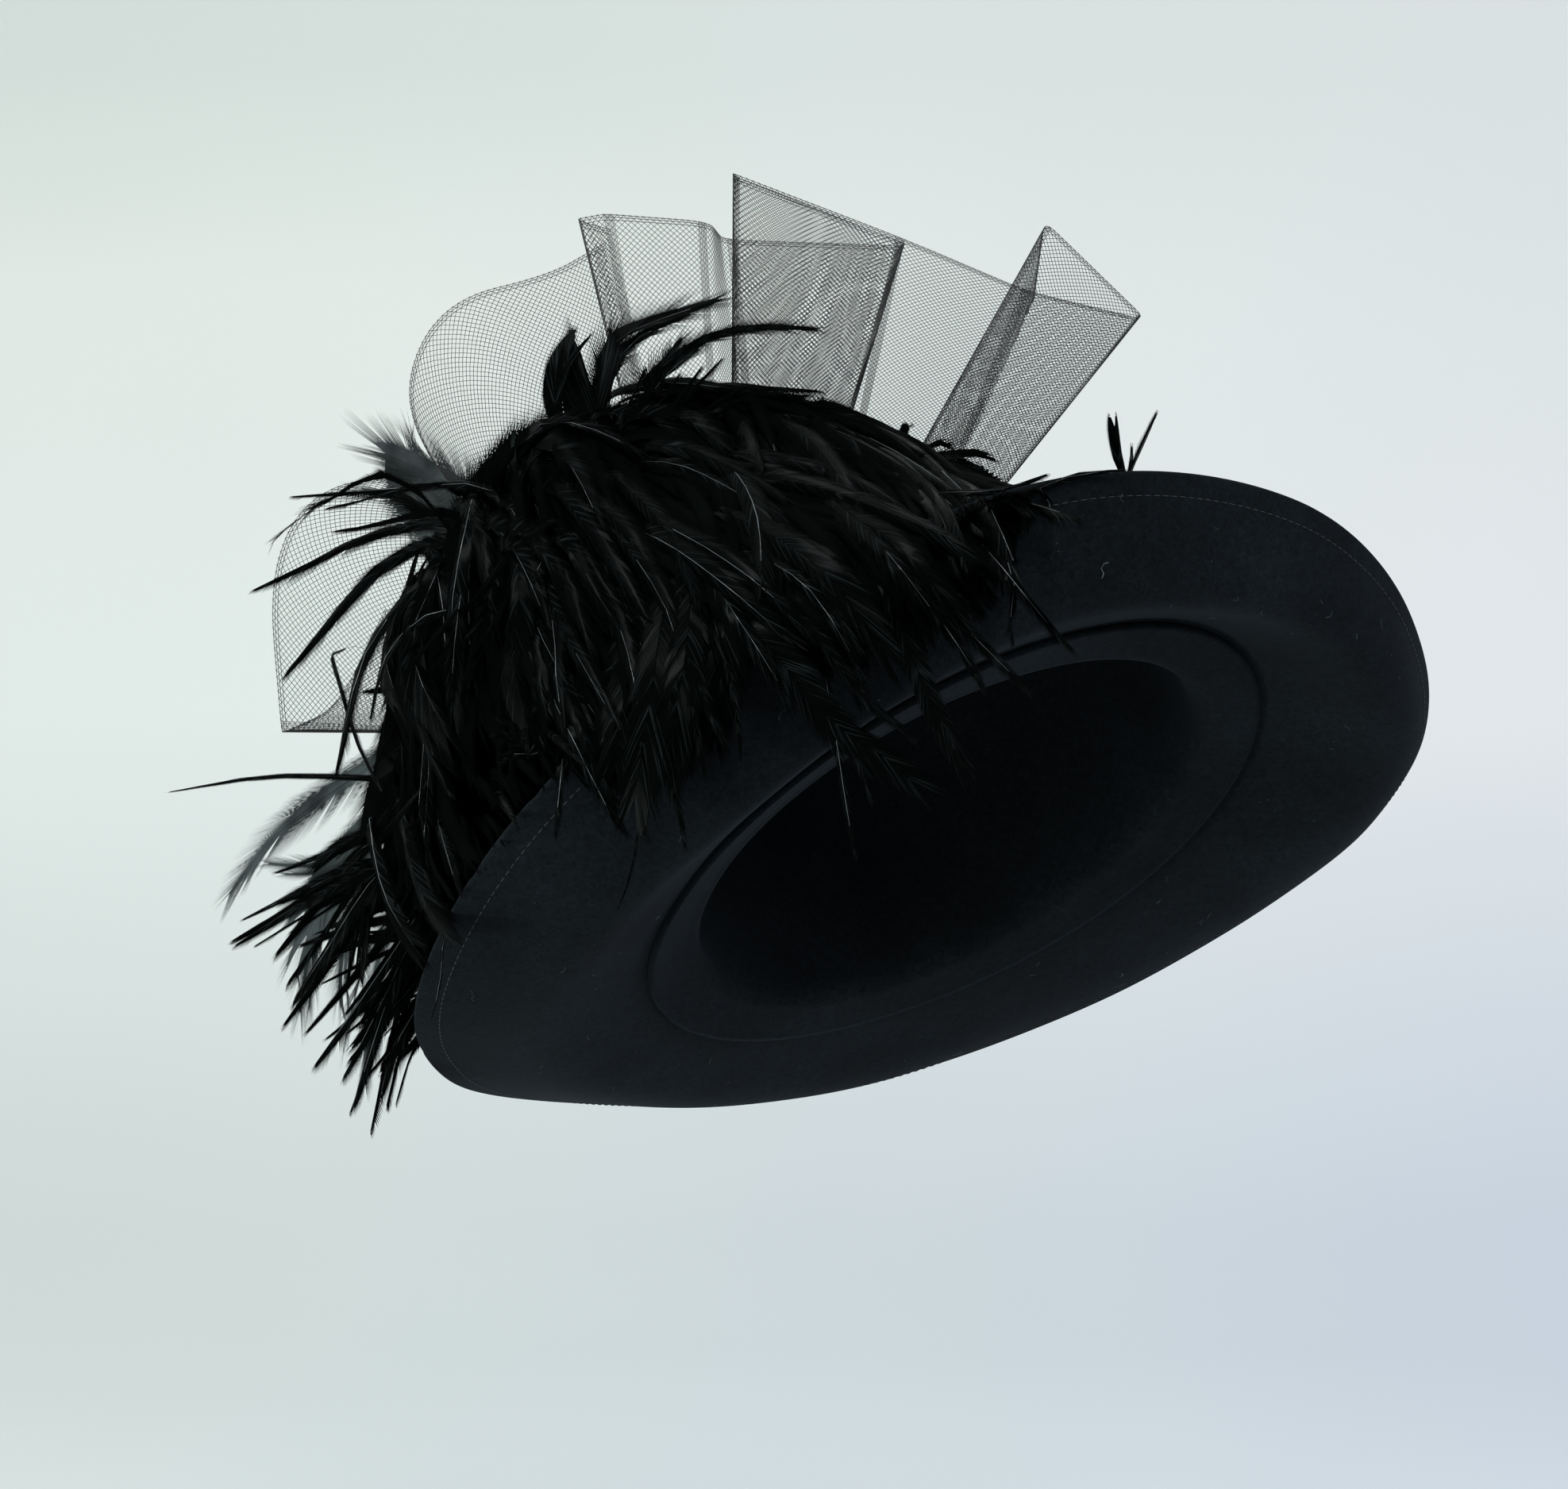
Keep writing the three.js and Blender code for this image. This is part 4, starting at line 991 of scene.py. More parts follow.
# A feather's proportions, as shares of its length, its width or a barb's length
ROOT_HIDDEN = 0.97
QUILL_BARE = 0.08
SHAFT_TAPER = 0.8
SHAFT_LEAST = 0.1
SHAFT_BY_WIDTH = 0.018
BANDS_LEAST, BANDS_MOST = 4, 36
LAST_PLACE = 0.99
ROOT_ROUND = 0.04
TIP_ROUND = 1.03
LEAN_LEAST = 0.14
BARB_LONGEST = 0.35
BARB_BOW = 0.12
FRINGE_FROM = 0.92
BARB_UNEVEN = (0.93, 1.05)


def mound_surface():
    """A smooth surface through the mound's points: the depth at any place on the plan."""
    table = np.array(MOUND, float)
    places, depths = table[:, :2] / MOUND_UNIT, table[:, 2]

    def spread(a, b):
        r = np.linalg.norm(a[:, None] - b[None], axis=-1)
        return np.where(r > 0, r * r * np.log(np.maximum(r, TINY)), 0)

    n = len(places)
    flat = np.concatenate([np.ones((n, 1)), places], 1)
    system = np.zeros((n + 3, n + 3))
    system[:n, :n] = spread(places, places) + MOUND_EASE * np.eye(n)
    system[:n, n:], system[n:, :n] = flat, flat.T
    weights = np.linalg.solve(system, np.concatenate([depths, np.zeros(3)]))

    def depth(x, y):
        here = np.array([[x, y]]) / MOUND_UNIT
        return (spread(here, places) @ weights[:n] + weights[n] + here @ weights[n + 1 :])[0]

    return depth


# A loose end of pale thread lies on the brim's near face
LOOSE_THREAD = [(1396, 709), (1390, 711), (1387, 717), (1390, 723), (1388, 729)]
LOOSE_THREAD_RADIUS = 0.16
mound_depth = mound_surface()
felt_tree = BVHTree.FromPolygons(
    [v.co for o in (crown, brim) for v in o.data.vertices],
    [tuple(p.vertices) for p in crown.data.polygons]
    + [tuple(v + len(crown.data.vertices) for v in p.vertices) for p in brim.data.polygons],
)
eye = Vector((0, -PLAN_BACK * MM, 0))


def felt_depth(x, y):
    """The felt's depth at a place on the plan, or None beside it."""
    way = Vector((x - PLAN_ORIGIN[0], PLAN_SCALE, PLAN_ORIGIN[1] - y)).normalized()
    hit = felt_tree.ray_cast(eye, way)[0]
    return None if hit is None else hit.y / MM


def make_loose_thread():
    places = [on_plan(x, y, felt_depth(x, y) - LOOSE_THREAD_RADIUS) for x, y in LOOSE_THREAD]
    heap = Heap()
    heap.add(*tube(np.array(places), np.full(len(places), LOOSE_THREAD_RADIUS), THREAD_SIDES))
    heap.make("loose_thread", LINT_LOOK, "felt")


make_loose_thread()


def laid(points, lift):
    """Places of a feather's points: each on the mound, unless it has a depth of its own."""
    placed = []
    for i, point in enumerate(points):
        x, y = point[:2]
        depth = point[2] if len(point) > 2 else mound_depth(x, y) - lift[min(i, len(lift) - 1)]
        placed.append(on_plan(x, y, depth))
    return np.array(placed)


def clear_of_felt(path, first):
    """The path with its points from the given one on brought in front of the felt."""
    for i in range(first, len(path)):
        share = PLAN_SCALE / (PLAN_BACK + path[i, 1])
        x, y = PLAN_ORIGIN[0] + path[i, 0] * share, PLAN_ORIGIN[1] - path[i, 2] * share
        felt = felt_depth(x, y)
        if felt is not None and path[i, 1] > felt - CLEAR_OF_FELT:
            path[i] = on_plan(x, y, felt - CLEAR_OF_FELT)
    return path


def beside_felt(points):
    """The points with each that lies through the felt from the one before it brought back to its face."""
    for i in range(1, len(points)):
        start, way = Vector(points[i - 1] * MM), Vector((points[i] - points[i - 1]) * MM)
        hit, normal = felt_tree.ray_cast(start, way.normalized(), way.length)[:2]
        if hit is not None:
            side = normal if normal.dot(way) < 0 else -normal
            points[i] = np.array(hit) / MM + np.array(side) * CLEAR_OF_FELT
    return points


def short_of_felt(points, roots):
    """The points with each that lies through the felt from its root brought back short of it."""
    for i, (point, root) in enumerate(zip(points, roots)):
        start, way = Vector(root * MM), Vector((point - root) * MM)
        hit = felt_tree.ray_cast(start, way.normalized(), way.length)[0]
        if hit is not None:
            points[i] = root + (np.array(hit) / MM - root) * SHORT_OF_FELT
    return points


def strewn(rand, spread):
    return np.array([rand.gauss(0, spread) for _ in range(3)])


def smooth_path(points, count, rooted):
    """Evenly spaced points on a smooth curve through a few, its length, and how far along each one is. A
    rooted feather's shaft runs straight from its root to its second point."""
    points = np.asarray(points, float)
    share = np.linspace(0, 1, CURVE_STEPS, endpoint=False)[:, None]
    dense = []
    if rooted:
        dense.append(points[0] + (points[1] - points[0]) * share)
        points = points[1:]
    before, after = 2 * points[0] - points[1], 2 * points[-1] - points[-2]
    p = np.concatenate([[before], points, [after]])
    for i in range(1, len(p) - 2):
        dense.append(curve(*p[i - 1 : i + 3], share))
    dense = np.concatenate(dense + [points[-1:]])
    reach = reach_along(dense)
    path = sampled(np.linspace(0, reach[-1], count), reach, dense)
    return path, reach[-1], reach[::CURVE_STEPS] / reach[-1]


def add_feather(heap, points, width, kind, rand, rooted, roll, fine, under, beside):
    """One feather: a tapering shaft, and on each side a vane of barbs that part at their ends."""
    style = KINDS[kind]
    path, length, shares = smooth_path(points, SHAFT_STEPS, rooted)
    start = ROOT_HIDDEN * shares[1] if rooted else QUILL_BARE
    if beside:
        path = beside_felt(path)
    elif rooted:
        path = clear_of_felt(path, int(math.ceil(shares[1] * (SHAFT_STEPS - 1))))
    along = unit(np.gradient(path, axis=0))
    face = unit(path - HAT_MIDDLE) + TOWARDS_VIEW + strewn(rand, FACE_SCATTER)
    if kind == "blade":
        face = np.tile(BLADE_FACE, (len(path), 1))
    normal = unit(face - (along * face).sum(-1, keepdims=True) * along)
    side = np.cross(along, normal)
    turn = rand.gauss(0, roll) + np.linspace(0, rand.gauss(0, TWIST * roll), SHAFT_STEPS)
    cos, sin = np.cos(turn)[:, None], np.sin(turn)[:, None]
    side, normal = side * cos + normal * sin, normal * cos - side * sin
    radii = (SHAFT_LEAST + SHAFT_BY_WIDTH * width) * (1 - SHAFT_TAPER * np.linspace(0, 1, SHAFT_STEPS))
    heap.add(*tube(path, radii, STRAND_SIDES), look=UNDER)
    # Painted glint: on some top feathers, a lighter, glossy tube over the shaft towards its tip stands in for
    # a highlight
    if not under and rand.random() < GLINTS:
        first = int(rand.uniform(*GLINT_START) * SHAFT_STEPS)
        glint = tube(path[first:-1], radii[first:-1] + GLINT_RADIUS, STRAND_SIDES)
        heap.add(*glint, look=PAINTED_GLINT_SLOT)
    bands = length * (1 - start) / (BARB_STEP * fine * BARBS_PER_ROW)
    bands = int(np.clip(bands, BANDS_LEAST, BANDS_MOST))
    rows = bands * BARBS_PER_ROW + 1
    u = np.linspace(0, 1, rows)
    at = np.minimum(start + (1 - start) * u, LAST_PLACE) * (SHAFT_STEPS - 1)

    def here(values):
        return sampled(at, np.arange(SHAFT_STEPS), values)

    base, forward, across, out = here(path), unit(here(along)), unit(here(side)), unit(here(normal))
    profile = np.clip(u + ROOT_ROUND, 0, 1) ** style["swell"] * (TIP_ROUND - u) ** style["taper"]
    peak = style["swell"] / (style["swell"] + style["taper"])
    profile /= peak ** style["swell"] * (1 - peak) ** style["taper"]
    lean = np.radians(style["lean"][0] + (style["lean"][1] - style["lean"][0]) * u)
    reach = width / 2 * profile / np.maximum(np.sin(lean), LEAN_LEAST)
    reach = np.minimum(reach, length * BARB_LONGEST)
    held = style["solid"]
    levels = np.array([0, held / 2, held])
    groups = rows // BARBS_PER_GROUP + 2
    near = any(felt_tree.find_nearest(Vector(spot * MM), (width / 2 + 1) * MM)[0] for spot in path)
    # Feathers on top get the vane look with its painted sheen streaks, the others the plain dark look
    look = UNDER if under else VANE
    for way_out in (1.0, -1.0):
        way = np.cos(lean)[:, None] * forward + np.sin(lean)[:, None] * across * way_out
        bow = (BARB_BOW * forward - style["cup"] * out) * reach[:, None]

        def barb(level):
            return base + way * reach[:, None] * level + bow * level * level

        ribbon = np.stack([barb(level)[::BARBS_PER_ROW] for level in levels], 1).reshape(-1, 3)
        if near:
            ribbon = short_of_felt(ribbon, np.repeat(base[::BARBS_PER_ROW], len(levels), 0))
        k = np.arange(bands)[:, None] * 3 + np.arange(2)
        quads = np.stack([k, k + 1, k + 4, k + 3], -1).reshape(-1, 4)
        ribbon_uv = np.stack(np.meshgrid(u[::BARBS_PER_ROW] * (rows - 1), levels, indexing="ij"), -1)
        edge = barb(held * FRINGE_FROM)
        group = (np.arange(rows - 1) + rand.randrange(BARBS_PER_GROUP)) // BARBS_PER_GROUP
        part = np.array([[rand.gauss(0, style["loose"]) for _ in range(groups)] for _ in range(2)])[:, group]
        jitter = np.array([rand.uniform(*BARB_UNEVEN) for _ in range(rows - 1)])
        tips = (barb(1.0)[:-1] + barb(1.0)[1:]) / 2
        stray = forward[:-1] * part[0][:, None] + out[:-1] * part[1][:, None]
        tips = edge[:-1] + (tips - edge[:-1]) * jitter[:, None] + stray * reach[:-1, None]
        fringe = np.concatenate([edge, tips])
        if near:
            fringe = short_of_felt(fringe, np.concatenate([base, base[:-1]]))
        j = np.arange(rows - 1)
        points_out = np.stack([j, rows + j, j + 1], -1)
        level = np.concatenate([np.full(rows, held), np.ones(rows - 1)])
        fringe_uv = np.stack([np.concatenate([np.arange(rows), j + 0.5]), level], -1)
        if way_out < 0:
            quads, points_out = quads[:, ::-1], points_out[:, ::-1]
        heap.add(ribbon, [quads], ribbon_uv.reshape(-1, 2), look=look)
        heap.add(fringe, [points_out], fringe_uv, look=look)


# How far the feathers between are turned, scaled and kept inside the mass, on the plan
TURN_SPREAD = 0.07
SCALE_RANGE = (0.8, 1.05)
SHIFT_TRIES = 12
SHIFT_SHRINK = 0.9
SHIFT_RISE = 8
BELOW_TOP = (2, 14)
ABOVE_EDGE = (4, 45)


def shifted(points, rand, spread, within, sunk):
    """A row's points moved, shortened and turned a little on the plan, for the feathers between."""
    turn, scale = rand.gauss(0, TURN_SPREAD), rand.uniform(*SCALE_RANGE)
    c, s = math.cos(turn), math.sin(turn)
    x0, y0 = points[0][:2]
    dx, dy = rand.gauss(0, spread), rand.gauss(0, spread)
    edge, top = np.array(MASS_EDGE, float), np.array(TOP_EDGE, float)
    for _ in range(SHIFT_TRIES):
        made = []
        for point in points:
            x, y = (point[0] - x0) * scale, (point[1] - y0) * scale
            moved = (x0 + dx + c * x - s * y, y0 + dy + s * x + c * y)
            made.append(moved + ((point[2] + sunk,) if len(point) > 2 else ()))
        if within:
            lower = max(np.interp(m[0], top[:, 0], top[:, 1]) - m[1] for m in made)
            lower += rand.uniform(*BELOW_TOP)
            made = [(m[0], m[1] + max(lower, 0)) + m[2:] for m in made]
        limit = np.interp(made[-1][0], edge[:, 0], edge[:, 1])
        if not within or (made[-1][1] < limit - rand.uniform(*ABOVE_EDGE) and made[-1][0] < MASS_RIGHT):
            break
        scale *= SHIFT_SHRINK
        dy -= SHIFT_RISE
    return made


# Where on the crown the feathers are sewn on: from where to where round it and up it
ROOT_ABOVE_FELT = 1.0
PLACES_AROUND, PLACES_UP = 25, 9
PADS = {"side": (42, 162, 9, 48), "back": (166, 220, 9, 36), "sprig": (20, 26, 24, 28)}


def pad_places(pad):
    around_low, around_high, low, high = PADS[pad]
    around = np.linspace(around_low, around_high, PLACES_AROUND)
    around, rise = np.meshgrid(around, np.linspace(low, high, PLACES_UP))
    return worn(crown_point(around.ravel(), rise.ravel(), FELT + ROOT_ABOVE_FELT))


PAD_PLACES = {pad: pad_places(pad) for pad in PADS}
NEAREST_ROOTS = 14
ROOT_SCATTER = 1.5


def root_for(point, pad, rand):
    """A place on the pad to sew a feather that shows from the given point on."""
    places = PAD_PLACES[pad]
    near = np.argsort(np.linalg.norm(places - point, axis=1))[:NEAREST_ROOTS]
    place = places[near[rand.randrange(len(near))]]
    shift = strewn(rand, ROOT_SCATTER)
    outward = unit(place)
    return place + shift + outward * max(0, -(shift @ outward))


GROUP_COLUMNS = ("copies", "fills", "spread", "pad", "least", "within")
BEHIND_BRIM = ("back", "lone", "spray", "soft", "sprig", "backing")
GROUPS = {
    "crest": (5, 9, 26, "side", 5.0, True),
    "sweep": (5, 9, 30, "side", 5.0, True),
    "curl": (5, 9, 22, "side", 5.0, True),
    "fall": (5, 9, 28, "side", 5.0, True),
    "stray": (0, 0, 0, "side", 0, False),
    "quills": (0, 0, 0, "side", 0, False),
    "upright": (0, 0, 0, "side", 0, False),
    "spray": (0, 0, 0, "side", 0, False),
    "back": (2, 2, 14, "back", 0, False),
    "lone": (0, 0, 0, "back", 0, False),
    "backing": (3, 0, 14, "side", 0, True),
    "burst": (1, 0, 4, "side", 0, False),
    "soft": (1, 0, 8, "back", 0, False),
    "sprig": (0, 0, 0, "sprig", 0, False),
}
TOP_LIFT = (-2, 7, 8, 8, 8, 8)
UNDER_LIFT = (-8, 1, 3, 4, 4, 4)
COPY_DEPTH = (0, 7)
FILL_DEPTH = (8, 22)
SLIM = 1.1
SMALLER = (0.6, 1.0)
OWN_ROLL, COPY_ROLL, TUFT_ROLL = 0.15, 0.25, 0.3
OWN_FINE, COPY_FINE, TUFT_FINE, FILL_FINE = 1.0, 1.2, 1.3, 2.0
# How many copies of each feather get the glossy vane look with painted sheen streaks and, now and then, a
# painted glint
GLOSSY_COPIES = 1


def rooted_path(points, pad, rand):
    if pad is None:
        return points
    return np.concatenate([[root_for(points[0], pad, rand)], points])


def make_feathers(name, groups, seed, looks):
    rand = random.Random(seed)
    heap = Heap()
    for group in groups:
        settings = dict(zip(GROUP_COLUMNS, GROUPS[group]))
        pad = settings["pad"]
        for points, width, *kind in FEATHER_ROWS[group]:
            kind = kind[0] if kind else "hackle"
            path = rooted_path(laid(points, TOP_LIFT), pad, rand)
            under = group == "backing"
            rooted = pad is not None
            beside = group in BEHIND_BRIM
            add_feather(heap, path, width * SLIM, kind, rand, rooted, OWN_ROLL, OWN_FINE, under, beside)
            for i in range(settings["copies"] + settings["fills"]):
                fill = i >= settings["copies"]
                sunk = rand.uniform(*(FILL_DEPTH if fill else COPY_DEPTH))
                moved = shifted(points, rand, settings["spread"], settings["within"], sunk)
                size = max(width, settings["least"]) * rand.uniform(*SMALLER) * (1 if fill else SLIM)
                path = rooted_path(laid(moved, [lift - sunk for lift in UNDER_LIFT]), pad, rand)
                fine = FILL_FINE if fill else COPY_FINE
                under = fill or i >= GLOSSY_COPIES
                add_feather(heap, path, size, kind, rand, rooted, COPY_ROLL, fine, under, beside)
    return heap.make(name, looks, "feather")


# Tufts on every side, as in part.mjs: roots round and up the crown, tips in millimetres, the tops of their
# arches where they have one, how far they stand off the crown, how many feathers, and their width and kind
TUFT_COLUMNS = ("roots", "tips", "through", "lift", "count", "width", "kind")
SIDE_TUFTS = [
    ([(104, 45), (56, 34)], [(-60, -12, 158), (6, -66, 112)], None, 18, 22, 7, "hackle"),
    ([(146, 43), (112, 46)], [(-112, -30, 168), (-70, -22, 168)], None, 44, 18, 7, "hackle"),
    ([(132, 44), (156, 42)], [(-150, -110, 92), (-196, -70, 40)], None, 52, 34, 8, "hackle"),
    (
        [(140, 46), (154, 44)], [(-112, -104, 84), (-172, -86, 40)], [(-138, -38, 140), (-166, -46, 112)],
        40, 34, 7, "hackle",
    ),
    (
        [(154, 46), (158, 44)], [(-242, -8, 124), (-258, -8, 112)], [(-172, -28, 130), (-192, -40, 114)],
        40, 3, 6, "hackle",
    ),
    (
        [(150, 40), (156, 12)], [(-190, -60, 20), (-196, -74, -40)], [(-176, -40, 60), (-184, -50, 0)],
        40, 44, 8, "hackle",
    ),
]
HANGING_TIPS = [(-246, -16, -22), (-232, -20, -66), (-218, -10, -90), (-206, 40, -78), (-196, 90, -52)]
BACK_TUFTS = [
    ([(172, 14), (190, 14), (214, 16)], HANGING_TIPS, None, 44, 32, 6, "hackle"),
    ([(196, 31), (204, 32)], [(-222, 112, 112), (-208, 116, 132)], None, 26, 10, 10, "downy"),
    ([(168, 30), (214, 32)], [(-214, -30, 60), (-190, 92, 40)], None, 40, 44, 8, "hackle"),
]
PAD_TUFTS = [
    ([(54, 12), (52, 44)], [(50, -31, 96), (8, 10, 136)], None, 11, 34, 6, "leaf"),
    ([(62, 14), (60, 46)], [(42, -41, 102), (-3, 8, 145)], None, 18, 26, 6, "leaf"),
    ([(210, 12), (208, 33)], [(-68, 78, -44), (-89, 99, 15)], None, 11, 34, 6, "leaf"),
    ([(202, 14), (200, 33)], [(-85, 74, -48), (-105, 98, 13)], None, 18, 26, 6, "leaf"),
]
SPRIG_TUFTS = [
    ([(20, 23), (26, 29)], [(60, 16, 102), (22, 12, 128)], None, 4, 16, 5, "leaf"),
    ([(20, 29), (26, 23)], [(44, 22, 112), (51, -6, 106)], None, 4, 16, 5, "leaf"),
]
TUFT_SPREAD = 8
TUFT_ROOT_SPREAD = 3
TUFT_LIFT_RANGE = (0.6, 1.05)
TUFT_BEND_AT = 0.55
TUFT_ARCH = 0.25
TUFT_AWAY = 4.0
# One feather in so many of a tuft gets the glossy vane look with painted sheen streaks and, now and then, a
# painted glint
GLOSSY_TUFT = 5


def along_stops(stops, share):
    return sampled(share * (len(stops) - 1), np.arange(len(stops)), np.array(stops, float))


def add_tuft(heap, row, rand):
    """A tuft's feathers, each leaving the pad square to the crown, arching over and falling to its tip."""
    tuft = dict(zip(TUFT_COLUMNS, row))
    for i in range(tuft["count"]):
        share = np.clip((i + rand.uniform(-0.5, 0.5)) / max(tuft["count"] - 1, 1), 0, 1)
        aside = (rand.gauss(0, TUFT_ROOT_SPREAD), rand.gauss(0, TUFT_ROOT_SPREAD))
        around, rise = along_stops(tuft["roots"], share) + aside
        root = worn(crown_point(around, rise, FELT + ROOT_ABOVE_FELT))
        away = unit(worn(crown_point(around, rise, FELT + TUFT_AWAY)) - root)
        start = root + away * tuft["lift"] * rand.uniform(*TUFT_LIFT_RANGE)
        tip = along_stops(tuft["tips"], share) + strewn(rand, TUFT_SPREAD)
        if tuft["through"]:
            end = along_stops(tuft["through"], share) + strewn(rand, TUFT_SPREAD)
        else:
            end = start + (tip - start) * TUFT_BEND_AT + (0, 0, TUFT_ARCH * tuft["lift"])
        tip = end + (tip - end) * rand.uniform(*SMALLER)
        width = tuft["width"] * rand.uniform(*SMALLER)
        path = np.array([root, start, end, tip])
        under = i % GLOSSY_TUFT != 0
        add_feather(heap, path, width, tuft["kind"], rand, False, TUFT_ROLL, TUFT_FINE, under, beside=True)


# The pads that the feathers are sewn to, of part.mjs's form: from where to where round and up the crown,
# how thick at their edges and how far they swell
PAD_COLUMNS = ("start", "end", "low", "high", "thin", "swell")
PAD_FORMS = {
    "side": (42, 162, 9, 48, 4, 22),
    "back": (166, 220, 9, 36, 4, 18),
    "sprig": (18, 28, 22, 30, 3, 3),
}
PAD_ABOVE_FELT = 0.7
PAD_STEPS_ACROSS, PAD_STEPS_UP = 40, 16
PAD_FULLNESS = 0.6
PAD_EDGE_ACROSS, PAD_EDGE_UP = 12, 8
PAD_EDGE_LEAST = 0.02


def make_pad(name, pad):
    form = dict(zip(PAD_COLUMNS, PAD_FORMS[pad]))
    steps = (np.linspace(0, 1, count) for count in (PAD_STEPS_ACROSS, PAD_STEPS_UP))
    across, up = np.meshgrid(*steps, indexing="ij")
    around = form["start"] + (form["end"] - form["start"]) * across
    rise = form["low"] + (form["high"] - form["low"]) * up
    bulge = np.sin(np.pi * across) ** PAD_FULLNESS * np.sin(np.pi * up)
    near = np.minimum(np.minimum(up, 1 - up) * PAD_EDGE_UP, 1)
    near = near * np.minimum(np.minimum(across, 1 - across) * PAD_EDGE_ACROSS, 1)
    thick = form["thin"] * np.sqrt(np.maximum(near, PAD_EDGE_LEAST)) + form["swell"] * bulge
    inner = worn(crown_point(around, rise, FELT + PAD_ABOVE_FELT)).reshape(-1, 3)
    outer = worn(crown_point(around, rise, FELT + PAD_ABOVE_FELT + thick)).reshape(-1, 3)
    rows, columns = across.shape
    quads = np.roll(quads_between(rows, columns)[:, ::-1], 1, 1)
    count = rows * columns
    rim = np.concatenate([
        np.arange(columns), np.arange(1, rows) * columns + columns - 1,
        (rows - 1) * columns + np.arange(columns - 2, -1, -1), np.arange(rows - 2, 0, -1) * columns,
    ])
    following = np.roll(rim, -1)
    sides = np.stack([rim, following, following + count, rim + count], -1)
    faces = [quads[:, ::-1], quads + count, sides]
    add_mesh(name, np.concatenate([inner, outer]), faces, PAD_LOOK, "feather")


def make_tufts(name, rows, seed, looks):
    rand = random.Random(seed)
    heap = Heap()
    for row in rows:
        add_tuft(heap, row, rand)
    heap.make(name, looks, "feather")


for pad_name in PAD_FORMS:
    make_pad("feather_pad_" + pad_name, pad_name)
crest = make_feathers("feathers_crest", ["backing", "crest", "upright", "stray"], 21, FEATHER_LOOKS)
make_feathers("feathers_sweep", ["sweep"], 22, FEATHER_LOOKS)
make_feathers("feathers_fall", ["curl", "fall", "quills", "burst"], 23, FEATHER_LOOKS)
back = make_feathers("feathers_back", ["spray", "back", "lone"], 24, FEATHER_LOOKS)
make_feathers("feathers_soft", ["soft"], 25, DOWN_LOOKS)
sprig = make_feathers("feathers_sprig", ["sprig"], 26, FEATHER_LOOKS)
make_tufts("feather_tufts_side", SIDE_TUFTS, 31, FEATHER_LOOKS)
make_tufts("feather_tufts_ends", PAD_TUFTS, 33, FEATHER_LOOKS)
make_tufts("feather_tufts_sprig", SPRIG_TUFTS, 34, FEATHER_LOOKS)
make_tufts("feather_tufts_back", BACK_TUFTS, 32, FEATHER_LOOKS)
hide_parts("feather_side")
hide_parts("feather_back")
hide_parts("feather_sprig")

# Stage, light and camera: a curved paper sweep with a soft glow, in metres
FLOOR = -0.4
SWEEP_FRONT = -3.0
SWEEP_BACK = 1.6
SWEEP_ROUND = 0.9
SWEEP_TOP = 4.5
SWEEP_HALF_WIDTH = 5
SWEEP_STEPS = 17
PAPER = (1.5, (0.59, 0.60, 0.60), (0.61, 0.62, 0.62), 0.9)
PAPER_GLOSS = 0.1
GLOW_TOP = 0.85
GLOW_SIDES = (-0.6, 0.5)
GLOW_DEPTH = (0.5, 0.9)
GLOW_NEAR = 0.4
LEFT_GLOW = [
    (0.05, (0.241, 0.280, 0.266)),
    (0.42, (0.369, 0.413, 0.387)),
    (0.77, (0.362, 0.395, 0.350)),
    (0.95, (0.277, 0.324, 0.288)),
]
RIGHT_GLOW = [
    (0.05, (0.184, 0.226, 0.305)),
    (0.42, (0.375, 0.387, 0.398)),
    (0.95, (0.32, 0.343, 0.335)),
]


def between(tree, value, low, high, start=0.0):
    """How far a value has come from low to high, from start to one."""
    inputs = {"Value": value, "From Min": low, "From Max": high, "To Min": start}
    return node(tree, "MapRange", inputs, "Result")


def paper_material():
    """Paper with a glow that changes with its height, on the left, on the right and between them."""
    made = toned("paper", *PAPER)
    tree = made.node_tree
    place = node(tree, "TexCoord", {}, "Object")
    x, y, z = (node(tree, "SeparateXYZ", {"Vector": place}, axis) for axis in "XYZ")
    left, right = (ramp(tree, between(tree, z, FLOOR, GLOW_TOP), stops) for stops in (LEFT_GLOW, RIGHT_GLOW))
    both = {"Factor": between(tree, x, *GLOW_SIDES), MIX_A: left, MIX_B: right}
    fill(tree.nodes["Principled BSDF"], tree, {
        "Emission Color": node(tree, "Mix", both, MIX_RESULT, data_type="RGBA"),
        "Emission Strength": between(tree, y, *GLOW_DEPTH, GLOW_NEAR),
        "Specular IOR Level": PAPER_GLOSS,
    })
    return made


def make_stage():
    turn = np.linspace(0, math.pi / 2, SWEEP_STEPS)
    bend = [(SWEEP_BACK + SWEEP_ROUND * math.sin(a), FLOOR + SWEEP_ROUND * (1 - math.cos(a))) for a in turn]
    profile = [(SWEEP_FRONT, FLOOR), *bend, (SWEEP_BACK + SWEEP_ROUND, SWEEP_TOP)]
    xs = np.linspace(-SWEEP_HALF_WIDTH, SWEEP_HALF_WIDTH, 3)
    points = np.array([[x, y, z] for y, z in profile for x in xs]) / MM
    quads = quads_between(len(profile), len(xs))
    add_mesh("paper_sweep", points, [quads], paper_material(), None)


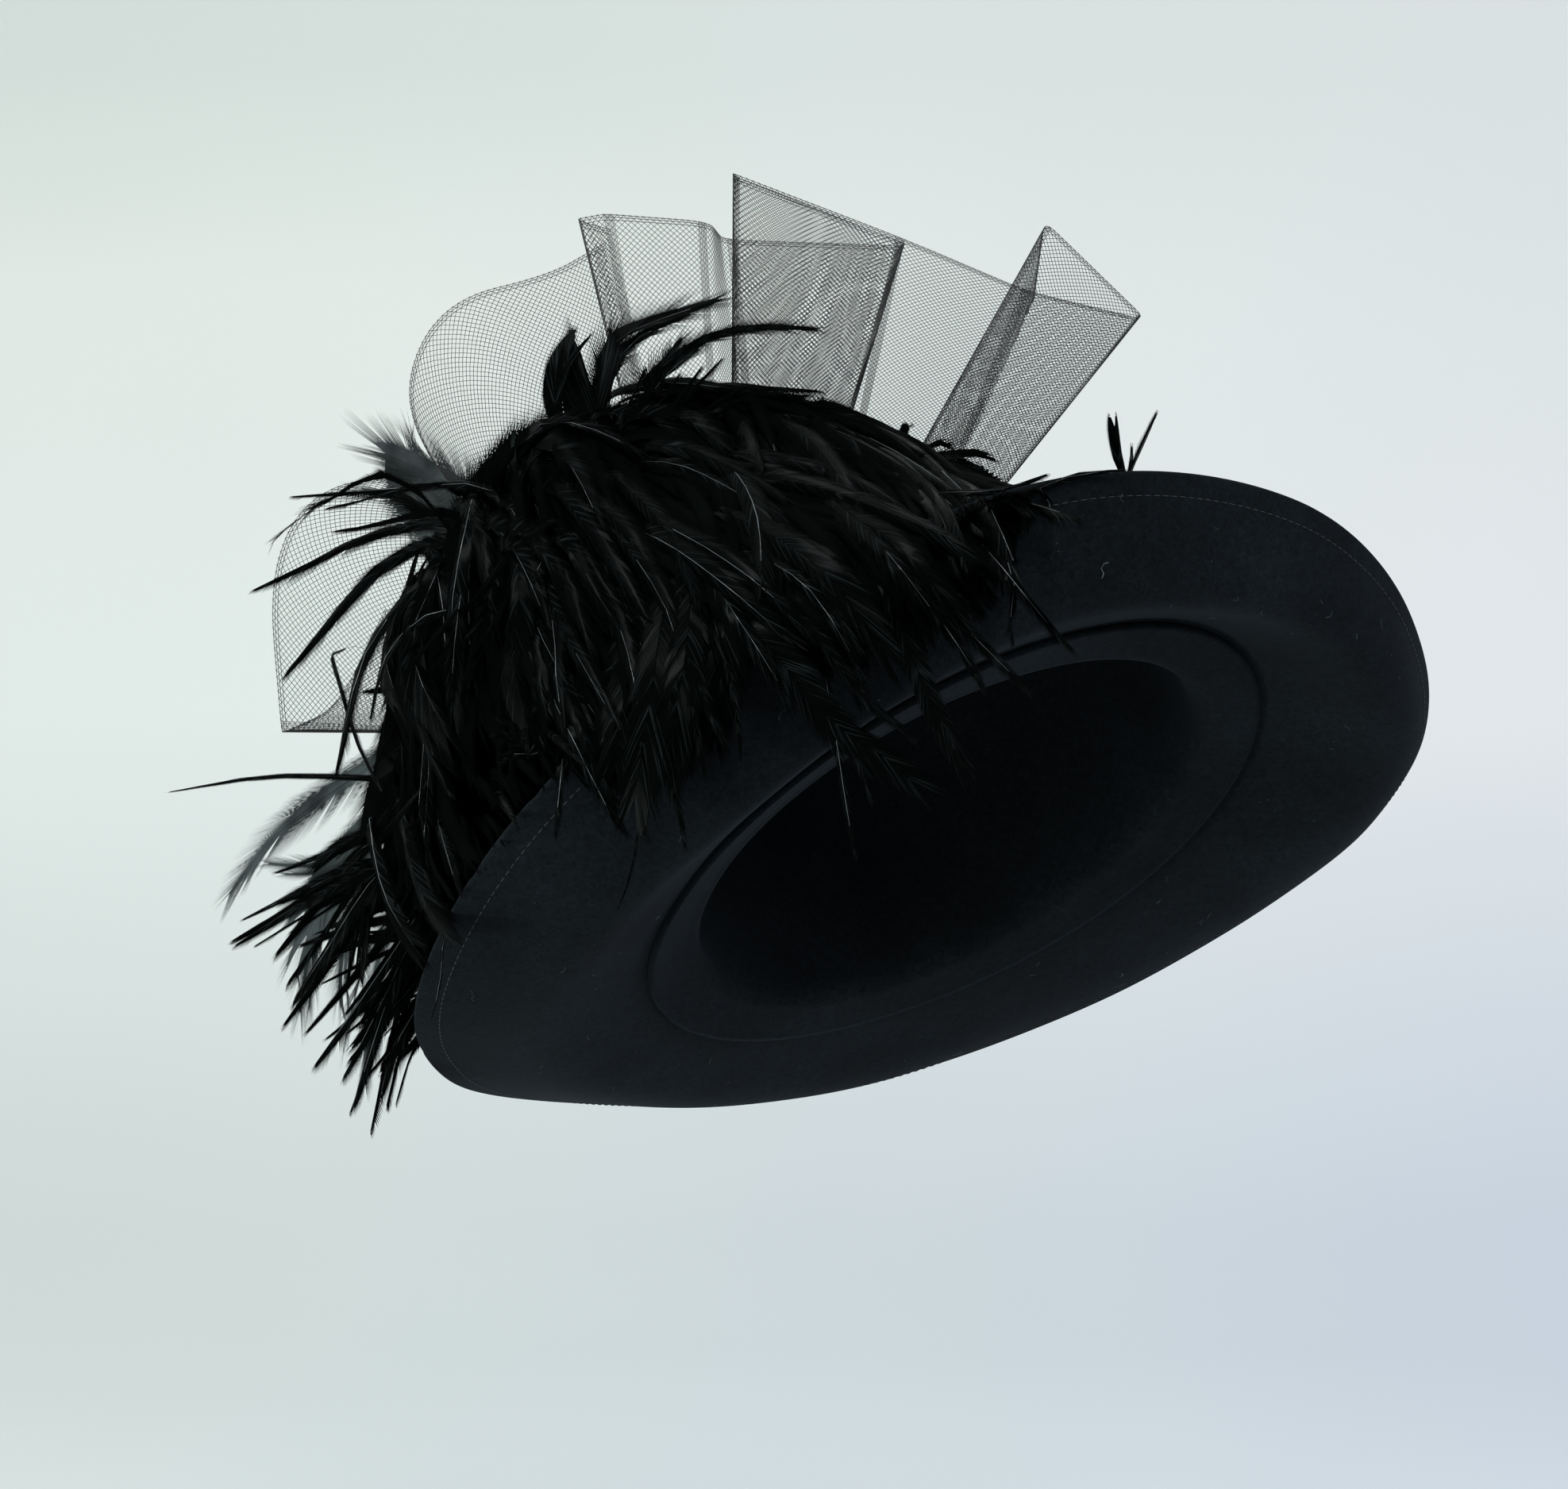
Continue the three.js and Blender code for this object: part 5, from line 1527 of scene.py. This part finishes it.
LIT = (0, 0, 0.05)
SKY_COLOUR = (0.93, 0.98, 1.0, 1)
SKY_STRENGTH = 0.4
LAMP_COLUMNS = ("place", "size", "power", "colour")
LAMPS = {
    "key": ((-1.1, -0.4, 1.6), (0.4, 0.4), 15, (0.95, 0.99, 1)),
    "front": ((0.2, -1.6, 1.2), (0.5, 0.4), 11, (0.98, 1, 1)),
    "side": ((1.5, -0.4, 0.6), (0.4, 0.6), 8, (0.86, 0.93, 1)),
    "low": ((-1.0, -0.8, -0.3), (0.4, 0.4), 9.5, (0.93, 1, 0.94)),
}


def area_light(name, place, size, power, colour):
    data = bpy.data.lights.new(name, "AREA")
    data.shape = "RECTANGLE"
    data.size, data.size_y = size
    data.energy = power
    data.color = colour
    obj = bpy.data.objects.new(name, data)
    obj.location = place
    obj.rotation_euler = (Vector(LIT) - Vector(place)).to_track_quat("-Z", "Y").to_euler()
    bpy.context.scene.collection.objects.link(obj)


def make_lights():
    world = bpy.data.worlds.new("studio")
    bpy.context.scene.world = world
    world.use_nodes = True
    back = world.node_tree.nodes["Background"]
    fill(back, world.node_tree, {"Color": SKY_COLOUR, "Strength": SKY_STRENGTH})
    for name, settings in LAMPS.items():
        area_light(name, **dict(zip(LAMP_COLUMNS, settings)))


IMAGE_WIDTH, IMAGE_HEIGHT = 1975, 1876
SENSOR = 36


def make_camera():
    data = bpy.data.cameras.new("camera")
    data.sensor_width = SENSOR
    data.lens = PLAN_SCALE / IMAGE_WIDTH * SENSOR
    obj = bpy.data.objects.new("camera", data)
    pitch = math.atan((PLAN_ORIGIN[1] - IMAGE_HEIGHT / 2) / PLAN_SCALE)
    yaw = math.atan((PLAN_ORIGIN[0] - IMAGE_WIDTH / 2) / PLAN_SCALE * math.cos(pitch))
    obj.location = (0, -PLAN_BACK * MM, 0)
    obj.rotation_euler = Euler((math.pi / 2 + pitch, 0, yaw), "XYZ")
    bpy.context.scene.collection.objects.link(obj)
    bpy.context.scene.camera = obj


make_stage()
make_lights()
make_camera()
bpy.context.scene.view_settings.view_transform = "Standard"
